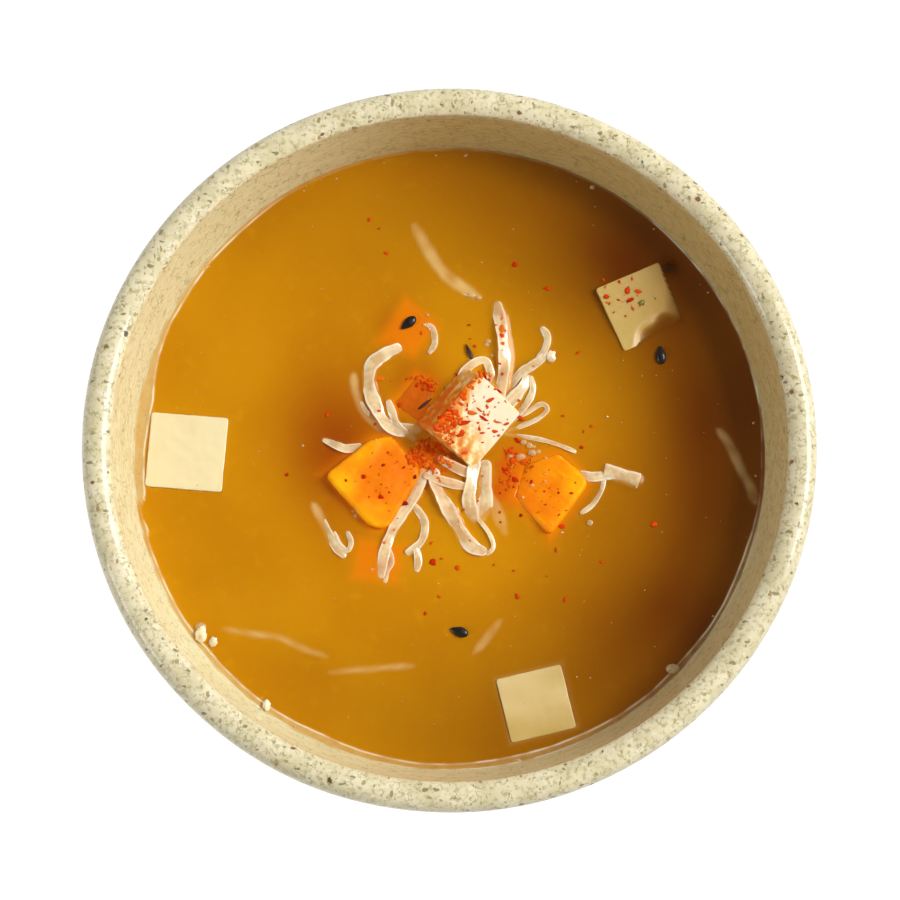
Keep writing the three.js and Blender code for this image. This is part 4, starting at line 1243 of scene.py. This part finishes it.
def broth_painted_glints(x, y):
    """Painted glints on the meniscus at the wall: how strongly its two broken bright lines show, and the
    pale band between them, where the broth thins with a painted reflection of the lit wall.

    The lines are exp(-(distance / width)^2) about two radii, and the band a smooth step between those.
    """
    radius, angle = np.hypot(x, y), np.degrees(np.arctan2(y, x)) % 360
    width, line, skin = (np.interp(angle, MENISCUS_GLINTS[:, 0], MENISCUS_GLINTS[:, k]) for k in (1, 2, 3))
    outer = SOUP_RADIUS + 0.05 + 0.08 * level_lumps(x, y, 14, 43)
    inner = outer - width * (1 + 0.2 * level_lumps(x, y, 15, 41) + 0.04 * level_lumps(x, y, 3, 42))
    lines = np.exp(-((radius - inner) / INNER_LINE) ** 2)
    lines += 0.8 * np.exp(-((radius - outer) / OUTER_LINE) ** 2)
    broken = 0.35 + 0.65 * smoothstep(-0.5, 0.25, level_lumps(x, y, 4, 44))
    band = smoothstep(inner - 0.1, inner + 0.15, radius) * smoothstep(outer + 0.3, outer, radius)
    streaks = 0.8 + 0.2 * level_lumps(x, y, 1.2, 45)
    return np.clip(lines * line * broken, 0, 1), band * skin * streaks


BROTH_COLUMNS = 480
# the broth's body keeps this far off the wall
WALL_GAP = 0.06
# the rows over the top, from the wall in: close together near it, and even beyond
EDGE_ROWS, EDGE_WIDTH, TOP_ROWS = 27, 3.2, 152


def broth_surface():
    """The broth's body: up the wall from the bottom's centre, then in over the top to its middle."""
    wall = wall_profile(WALL_GAP, 24)
    wall = wall[wall[:, 1] < SOUP_LEVEL - 0.5]
    inner_wall = wall_profile(0, 200)
    edge = np.interp(SOUP_LEVEL + WALL_CLIMB, inner_wall[:, 1], inner_wall[:, 0]) - 0.01
    rows = np.concatenate([
        [0, 0.02, 0.06], np.linspace(0.14, EDGE_WIDTH, EDGE_ROWS),
        np.linspace(EDGE_WIDTH, edge, TOP_ROWS)[1:],
    ])
    angle = np.linspace(0, TAU, BROTH_COLUMNS, endpoint=False)
    top_radius = edge - rows[:, None] + 0 * angle
    x, y = top_radius * np.cos(angle), top_radius * np.sin(angle)
    z, *looks = broth_state(x, y)
    top = np.stack([x, y, z], -1)
    side = np.stack(np.broadcast_arrays(
        wall[:, :1] * np.cos(angle), wall[:, :1] * np.sin(angle), wall[:, 1:]), -1)
    shape = side.shape[:2]
    names = ("veil", "glow", "pale", "shade", "deep", "oil", "painted_glints", "thin")
    under = (np.ones(shape), *[np.zeros(shape)] * (len(names) - 1))
    # painted glints on the meniscus at the wall, and the pale band between them with its painted reflection
    # of the lit wall
    painted_glints, skin = broth_painted_glints(x, y)
    edge_thin = 0.2 * smoothstep(SOUP_RADIUS - 0.3, SOUP_RADIUS + 0.25, top_radius)
    # the broth's shade from the wall and from the pile is painted
    over = (*looks, broth_shade(x, y), broth_wall_shade(x, y), broth_oil(x, y), painted_glints, np.maximum(edge_thin, skin))
    attributes = {name: np.concatenate([a, b]) for name, a, b in zip(names, under, over)}
    return closed(np.concatenate([side, top]), **attributes)


# ---- toppings ----

# how far over the ground the middle of a flake, and of a froth dome, lies
CHIP_REST = 0.06
DOME_REST = 0.05
FLAKE_DRAW, FROTH_DRAW, LEAF_DRAW = 5, 8, 3
CHIP_SIDES = 7
# a chip's rows from below up: each one's share of the outline, and its height over half the thickness
CHIP_ROWS = [(0.0, -1.0), (0.75, -0.9), (1.0, 0.1), (0.7, 0.9), (0.0, 1.0)]


def chip(centre, size, axes, draw, tones, slim=(0.45, 0.9), thick=0.24, spins=(0, TAU)):
    """A flake: a seven-sided outline of uneven radii, bulged to a blunt edge, on the given axes.

    Its tone, its width over its length and its turn are drawn between the bounds of `tones`, `slim` and
    `spins`, and it is at most `thick`.
    """
    regular = np.linspace(0, TAU, CHIP_SIDES, endpoint=False)
    angle = np.sort(draw.uniform(0, TAU, CHIP_SIDES)) * 0.35 + regular * 0.65
    radius = size / 2 * draw.uniform(0.6, 1.15, CHIP_SIDES)
    flat = np.stack([radius * np.cos(angle), draw.uniform(*slim) * radius * np.sin(angle)], -1)
    spin = draw.uniform(*spins)
    flat = flat @ np.array([[math.cos(spin), math.sin(spin)], [-math.sin(spin), math.cos(spin)]])
    thickness = min(thick, size * 0.45)
    local = np.stack([
        np.concatenate([flat * share, np.full((CHIP_SIDES, 1), lift * thickness / 2)], -1)
        for share, lift in CHIP_ROWS
    ])
    local[1:4, :, 2] += draw.uniform(-0.06, 0.06, (3, CHIP_SIDES)) * size
    return closed(local @ axes + centre, tone=np.full(local.shape[:2], draw.uniform(*tones)))


def ground(x, y):
    """The top of whatever shows at a point, as its height and the axes of its face."""
    spot = np.array([x]), np.array([y])
    best, axes = SOUP_LEVEL, np.eye(3)
    for part in [*DICE.values(), *ALL_STRIPS]:
        height, inside = part.cover(*spot)
        if inside[0] > -0.05 and height[0] > best:
            best = float(height[0])
            axes = part.turned.T if isinstance(part, Die) else np.eye(3)
    return best, axes


def lay(spots, draw, tones, **shape):
    """A chip on the ground at each spot, given as x, y and size."""
    chips = []
    for x, y, size in spots:
        height, axes = ground(x, y)
        chips.append(chip(np.array([x, y, height + CHIP_REST]), size, axes, draw, tones, **shape))
    return chips


def larger(spots, by):
    """The same spots with larger sizes."""
    return [(x, y, by * size) for x, y, size in spots]


def drift(count, centre, reach, turn, sizes, draw):
    """Random spots over a turned oval, thicker towards its middle, more of them small than large."""
    angle, share = draw.uniform(0, TAU, count), draw.uniform(0, 1, count) ** 0.7
    a, b = reach[0] * share * np.cos(angle), reach[1] * share * np.sin(angle)
    c, s = math.cos(math.radians(turn)), math.sin(math.radians(turn))
    size = sizes[0] + (sizes[1] - sizes[0]) * draw.uniform(0, 1, count) ** 2
    return np.stack([centre[0] + a * c - b * s, centre[1] + a * s + b * c, size], -1).tolist()


# x, y and size of the flakes that stand out
FLAKES_AFLOAT = [
    (-14.3, 42.6, 0.9), (-12.6, 41, 0.6), (-11.3, 36.4, 1), (11.7, 34.4, 1.3), (17.4, 30, 1.4),
    (22.9, 18.4, 1.3), (20.1, 6.9, 1), (25.1, 5.1, 0.8), (23.3, 1.3, 1.2), (23.7, 4.1, 0.7),
    (-21.7, 7.1, 1.1), (-28.6, -3.6, 1), (35.9, -12.5, 1.6), (26.7, -19.2, 0.9), (20.3, -25.8, 1.4),
    (17.1, -21.7, 0.5), (12, -25.3, 1.4), (-2.9, -19.1, 1.8), (-1.4, -18.6, 0.7), (1.4, -20.2, 1.3),
    (-1.9, -25.3, 0.9), (-4.3, -28.3, 0.8), (-3.2, -15.8, 1), (18.7, -17, 1), (11.3, -20.7, 0.6),
    (3.5, 23.4, 0.7), (3.7, 20.9, 0.5), (4.5, 19.6, 0.8), (27.4, 31.6, 1.1), (-5, 21.9, 0.8),
    (7.8, -19.7, 0.5), (8.9, -10.3, 0.6), (9, -12.1, 0.5), (19.5, -12.9, 1.6), (-7.6, 13.6, 0.5),
]
FLAKES_ON_CENTRE = [
    (-0.9, 9.1, 2), (-3.2, 8.5, 1), (2.6, 4.9, 1.8), (0.4, 6.5, 1.9), (-0.8, 5.5, 2), (1.2, 5.5, 1),
    (3.9, 6.7, 1.4), (6.1, 5.9, 1.4), (5.3, 7.3, 1), (3.9, 11, 0.9), (2.6, 9.9, 0.9), (0.8, 10.4, 0.7),
    (7.1, 9.1, 1.7), (8.9, 11.2, 1.1), (10.9, 8.8, 1.2), (10, 5.3, 0.8), (8.5, 5.5, 1.2), (8.1, 3.9, 1.1),
    (5.8, 3.5, 0.7), (5.8, 1.9, 0.6), (2, 2.9, 1.3), (0.4, 2.9, 1), (2.7, -0.1, 1), (5.6, 14.2, 2),
    (4.3, 13.8, 1.2), (6.9, 13.6, 1.1), (1.6, 14, 1.2), (-0.4, 11.4, 1.2),
]
FLAKES_ON_SQUASH = [
    (-15.1, -4.2, 0.9), (-11.6, -2.1, 1), (-13.9, -2.4, 0.5), (-9.2, -1.5, 0.4), (-8, -2.5, 0.7),
    (-18.2, -4.9, 0.7), (-12, -5.6, 0.5), (-10.6, -7, 0.5), (-12.1, -7.8, 1.3), (-10.6, -10.3, 0.4),
    (-6.9, 0.7, 0.4), (-8.3, 1.3, 0.4), (-9.7, 2.7, 0.5), (-10.8, 0.1, 0.6), (-13.6, 0, 0.4),
    (-6.1, -4.1, 1), (14.4, -4.9, 1.3), (11.4, -4.5, 1.3), (21.5, -7.1, 0.9), (17.6, -6.1, 0.5),
    (19.2, -7, 0.8), (16.7, -6.7, 0.6), (16.9, -9.1, 0.5), (19.2, -11, 0.7), (14.8, -8.3, 0.4),
    (12.6, -10.9, 0.9), (9.4, -2.5, 0.8), (8.9, -4.9, 0.4), (8.9, -6.9, 0.5), (12, 2.5, 1.6),
    (10.2, 0.3, 1), (-7.9, -8.7, 1.7),
]
FLAKES_ON_RIGHT_TOFU = [
    (31.6, 29.5, 1.7), (33.6, 29.4, 1.3), (32.1, 27.8, 1.6), (28, 28.4, 1.6), (32.6, 26.3, 1),
    (30, 27.8, 0.8), (32.5, 31.7, 0.8), (30.2, 31.1, 0.9), (27.7, 30.1, 0.7), (29.2, 25.5, 0.7),
    (28.4, 27.1, 0.6), (31.3, 24.9, 0.6),
]
FLAKES_ON_SHREDS = [
    (9.3, 25.2, 0.8), (9.3, 24.4, 0.9), (9.2, 22.4, 1.4), (9.1, 21.2, 1.3), (9.4, 19.8, 1.2),
    (9.2, 18.6, 1.1), (8.9, 16.2, 0.7), (9.4, 14.3, 0.7), (11.2, 14.4, 1), (8.2, 23.2, 0.5),
    (10, 22.2, 0.5), (-12.3, 13.7, 1.6), (-13.7, 13, 0.6), (-12.5, 7.7, 0.8), (-13.1, 5.5, 0.8),
    (-8.8, 8.9, 0.9), (-10.4, 13.2, 0.4), (-4.3, -6, 0.6), (-2, -4.3, 0.8), (-1.7, -4.9, 0.6),
    (1.6, -11.9, 0.9), (3.6, -15.4, 0.7), (2.6, -9.9, 0.5), (5, -8.3, 0.4), (-11.5, -15.8, 0.8),
    (-9.7, -13.5, 0.4), (-10.6, -13.5, 0.4), (-9.1, -11.5, 0.4), (12.6, 6.5, 1.4), (12.3, 9.6, 0.7),
    (5.8, -3.9, 0.4), (14.9, 15.8, 0.4),
]


LEAF_SCRAPS = [(34.2, 27.4, 1.4), (36.6, 28.2, 0.4)]
# the drifts of small flakes: count, centre, reach, turn, sizes and tones
DRIFTS = (
    # left of the middle die, between it and the left squash
    (230, (-3.3, -0.6), (4.4, 2.8), -15, (0.5, 1.7), (0.0, 0.55)),
    (60, (-1.8, 2.2), (2.4, 3.0), 40, (0.4, 1.2), (0.1, 0.6)),
    # the middle die: its left tip, its upper edge and the face between
    (90, (-0.6, 5.6), (2.8, 2.6), 50, (0.5, 1.9), (0.1, 0.65)),
    (70, (3.2, 11.4), (4.4, 2.0), 48, (0.4, 1.3), (0.0, 0.55)),
    (46, (2.6, 6.8), (4.8, 3.8), 50, (0.4, 1.6), (0.05, 0.55)),
    (24, (7, 7), (4.4, 4.2), 50, (0.3, 0.9), (0.0, 0.6)),
    (40, (5.4, 13.8), (2.2, 1.3), 0, (0.4, 1.2), (0.0, 0.5)),
    # the small squash's upper edge
    (40, (-4.6, 12.8), (2.8, 1.5), -20, (0.35, 1.2), (0.2, 0.8)),
    # over the right squash's upper left
    (40, (12.2, -0.8), (3.4, 1.9), -20, (0.4, 1.4), (0.0, 0.5)),
    (26, (10.8, -4.6), (1.9, 3.2), 0, (0.3, 1.1), (0.2, 0.75)),
    # thin over both squash dice and the right tofu
    (22, (-12.4, -3.8), (6.2, 6.2), 0, (0.2, 0.45), (0.5, 0.95)),
    (26, (17.4, -6.4), (5.4, 5.4), 0, (0.2, 0.45), (0.5, 0.95)),
    (14, (31, 28.4), (4.2, 3.2), 24, (0.2, 0.5), (0.2, 0.7)),
)


def flakes():
    """All the chili as one mesh: the flakes that stand out, and drifts of small ones between them."""
    draw = np.random.default_rng(FLAKE_DRAW)
    chips = lay(FLAKES_AFLOAT, draw, (0.4, 0.8))
    chips += lay(larger(FLAKES_ON_CENTRE, 1.6), draw, (0.2, 0.85), slim=(0.26, 0.5), thick=0.14,
                 spins=(-1.5, -0.25))
    chips += lay(FLAKES_ON_SQUASH, draw, (0.6, 0.95))
    chips += lay(FLAKES_ON_RIGHT_TOFU, draw, (0.3, 0.85))
    chips += lay(larger(FLAKES_ON_SHREDS, 1.2), draw, (0.1, 0.6))
    for count, centre, reach, turn, sizes, tones in DRIFTS:
        chips += lay(drift(count, centre, reach, turn, sizes, draw), draw, tones)
    return joined(chips)


# x, y and size of the wet bits that stand out
WET_BITS = [
    (13.1, 2.2, 1.2), (14.1, 1.6, 1.2), (14.7, 1.4, 1.2), (15.7, 0.5, 1), (10.8, -0.3, 1),
    (17, -0.6, 0.6), (16.9, -3.5, 0.6), (16.9, -4.8, 0.6), (12.9, -7.7, 0.6), (14.6, -5.5, 0.7),
    (24.7, -12.2, 1.2), (19.8, -13.9, 0.6), (3.9, 28.8, 1.5), (5.2, 28.3, 1.2), (6.9, 20.4, 1.2),
    (6.6, 19.8, 1), (7.5, 17.8, 1), (7.3, 14.6, 1), (-16.9, -10.1, 0.8), (-16.4, -10.9, 1),
    (-13.6, -20.5, 0.7), (27.9, 6.8, 0.5), (-25.9, 1.6, 0.5), (39, -38, 2.6), (-4.4, 23.4, 0.8),
    (-3.9, 25.2, 0.7), (-43.6, -30.6, 2.2), (12.6, -0.4, 1.8), (14.6, 0.3, 1.6), (-31.9, -44.6, 1.3),
    (-27, -48.2, 0.8), (12, -54, 1.0), (25.6, 48.6, 1.1),
]


# the bubbles by the wall, between these distances from it, and those anywhere within this radius
EDGE_BUBBLES, EDGE_SIZES, EDGE_GAPS = 60, (0.2, 0.6), (0.3, 1.6)
OPEN_BUBBLES, OPEN_SIZES, OPEN_REACH = 90, (0.12, 0.3), 54
# a dome's height, and its least width, over its length
DOME_HEIGHT, DOME_SLIMMEST = 0.6, 0.55


def round_spots(angle, out, size):
    """Spots as x, y and size, from their directions, their distances from the axis and their sizes."""
    return np.stack([out * np.cos(angle), out * np.sin(angle), size], -1).tolist()


def froth():
    """Wet bits and small bubbles as flattened domes: the large ones, a ring by the wall, and others."""
    draw = np.random.default_rng(FROTH_DRAW)
    angle = draw.uniform(0, TAU, EDGE_BUBBLES)
    out = SOUP_RADIUS - draw.uniform(*EDGE_GAPS, EDGE_BUBBLES)
    spots = WET_BITS + round_spots(angle, out, draw.uniform(*EDGE_SIZES, EDGE_BUBBLES))
    angle = draw.uniform(0, TAU, OPEN_BUBBLES)
    out = OPEN_REACH * np.sqrt(draw.uniform(0, 1, OPEN_BUBBLES))
    spots += round_spots(angle, out, draw.uniform(*OPEN_SIZES, OPEN_BUBBLES))
    dome = ball(8, 12)
    domes = []
    for x, y, size in spots:
        height, _ = ground(x, y)
        stretch = np.array([1, draw.uniform(DOME_SLIMMEST, 1), DOME_HEIGHT]) * size / 2
        domes.append(closed(dome * stretch + (x, y, height + DOME_REST)))
    return joined(domes)


# each sesame seed: its place, its turn, its width over a full one's, its height, and how brown it is
SEEDS = (
    ((-7.3, 23.7, 0.25), 220, 1.0, 1.1, 0.0),
    ((37.5, 17.9, 0.25), 95, 1.0, 1.1, 0.0),
    ((1.7, -31.5, 0.25), 162, 1.0, 1.1, 0.0),
    ((3.5, 18.4, 0.3), 112, 0.45, 0.7, 0.7),
    ((-4.3, 8.4, 3.7), 38, 0.34, 0.6, 0.9),
    ((*SUNK_SEED, -0.5), 8, 1.0, 0.8, 0.0),
)
SEED_HALF_LENGTH = 1.65
SEED_HALF_WIDTH = 0.9
SEED_TAPER, SEED_PINCH = 0.38, 0.1


def seed_surface(centre, turn, slim, height, brown):
    """A sesame seed: an egg whose section narrows towards one end, pinched at the tip."""
    down = np.linspace(0, math.pi, 18)[:, None]
    about = np.linspace(0, TAU, 20, endpoint=False)[None]
    x = -np.cos(down)
    girth = np.sin(down) * (1 - SEED_TAPER * np.maximum(0, x)) * (1 - SEED_PINCH * x)
    across = SEED_HALF_WIDTH * slim * girth * np.cos(about)
    local = np.stack(np.broadcast_arrays(
        SEED_HALF_LENGTH * x, across, height / 2 * girth * np.sin(about)), -1)
    a = math.radians(turn)
    spun = local @ np.array([[math.cos(a), math.sin(a), 0], [-math.sin(a), math.cos(a), 0], [0, 0, 1]])
    points = spun + np.array([centre[0], centre[1], SOUP_LEVEL + centre[2]])
    return closed(points, brown=np.full(points.shape[:2], brown))


# ---- camera, light and floor ----

def make_camera():
    """The camera, a set distance from its target, looking at it from the front and steeply down."""
    camera = bpy.data.objects.new("camera", bpy.data.cameras.new("camera"))
    bpy.context.scene.collection.objects.link(camera)
    elevation = math.radians(CAMERA_ELEVATION)
    tx, ty, tz = CAMERA_TARGET
    camera.location = (
        tx * MM,
        (ty - CAMERA_DISTANCE * math.cos(elevation)) * MM,
        (tz + CAMERA_DISTANCE * math.sin(elevation)) * MM,
    )
    camera.rotation_euler = (math.pi / 2 - elevation, 0, 0)
    camera.data.lens = CAMERA_LENS
    camera.data.sensor_width = CAMERA_SENSOR
    camera.data.clip_start = CAMERA_CLIP
    bpy.context.scene.camera = camera


def area_light(name, azimuth, elevation, size, power):
    """A square light that faces the bowl, placed by its direction from it. Azimuth 0 is +X, 90 is +Y."""
    light = bpy.data.lights.new(name, "AREA")
    light.size, light.energy = size, power
    holder = bpy.data.objects.new(name, light)
    bpy.context.scene.collection.objects.link(holder)
    a, e = math.radians(azimuth), math.radians(elevation)
    towards = np.array([math.cos(a) * math.cos(e), math.sin(a) * math.cos(e), math.sin(e)])
    holder.location = towards * LIGHT_DISTANCE + (0, 0, LIGHT_AIM_HEIGHT)
    holder.rotation_euler = (math.pi / 2 - e, 0, a + math.pi / 2)


def make_light():
    """The two lights, and the sky as a world that goes from one grey to the other with height."""
    world = bpy.data.worlds.new("studio")
    world.use_nodes = True
    n = Nodes(world.node_tree)
    up = n.axis(n.add("ShaderNodeTexCoord").outputs["Generated"], "Z")
    background = world.node_tree.nodes["Background"]
    put(n.tree, background.inputs["Color"], n.mix(n.ramp(up, SKY_FROM, SKY_TO), SKY_LOW, SKY_HIGH))
    background.inputs["Strength"].default_value = 1.0
    bpy.context.scene.world = world
    for name, light in LIGHTS.items():
        area_light(name, *light)
    bpy.context.scene.view_settings.view_transform = "Standard"


def make_floor():
    """A wide floor under the foot ring, lit a little from within like a light table, so it stays pale."""
    mesh = bpy.data.meshes.new("floor")
    corners = [(x, y, 0) for x, y in rectangle(2 * FLOOR_HALF, 2 * FLOOR_HALF)]
    mesh.from_pydata(corners, [], [(0, 1, 2, 3)])
    material, n, shader = new_material("pale_floor")
    connect(n, shader, Base_Color=(0.2, 0.2, 0.2, 1), Roughness=0.8, Emission_Color=(1, 1, 1, 1),
            Emission_Strength=FLOOR_GLOW, Specular_IOR_Level=0.0)
    mesh.materials.append(material)
    floor = bpy.data.objects.new("floor", mesh)
    bpy.context.scene.collection.objects.link(floor)


# ---- the whole ----

make_camera()
make_light()
make_floor()
piece("stoneware_bowl", bowl_surface(), STONEWARE, ["bowl"])
piece("miso_broth", broth_surface(), BROTH, ["broth"])

for name, die in DICE.items():
    stain = centre_stain if name == "tofu_centre" else None
    material, slot = (TOFU, "tofu") if name.startswith("tofu") else (SQUASH, "squash")
    piece(name + "_die", die.surface(stain), material, [name])
for name, die in SUNK_DICE.items():
    piece(name, die.surface(), SQUASH)

tangle = [tangle_core(), bud(*TANGLE_BUD), *[strip.surface() for strip in TANGLE]]
piece("leek_tangle", joined(tangle), SHREDS, ["shreds"])
for name, parts in LOOSE.items():
    piece("leek_" + name, joined([strip.surface() for strip in parts]), SHREDS, [name])
adrift = [*[bud(*spot) for spot in WALL_BUDS], *[strip.surface() for strip in SUNK_STRIPS]]
piece("leek_sunk_shreds", joined(adrift), SHREDS)
piece("chili_flakes", flakes(), CHILI)
piece("sesame_seeds", joined([seed_surface(*seed) for seed in SEEDS]), SESAME)
piece("broth_froth", froth(), FROTH)
leaf = lay(LEAF_SCRAPS, np.random.default_rng(LEAF_DRAW), (0, 1), slim=(0.8, 1), thick=0.6)
piece("dried_leaf", joined(leaf), HERB)
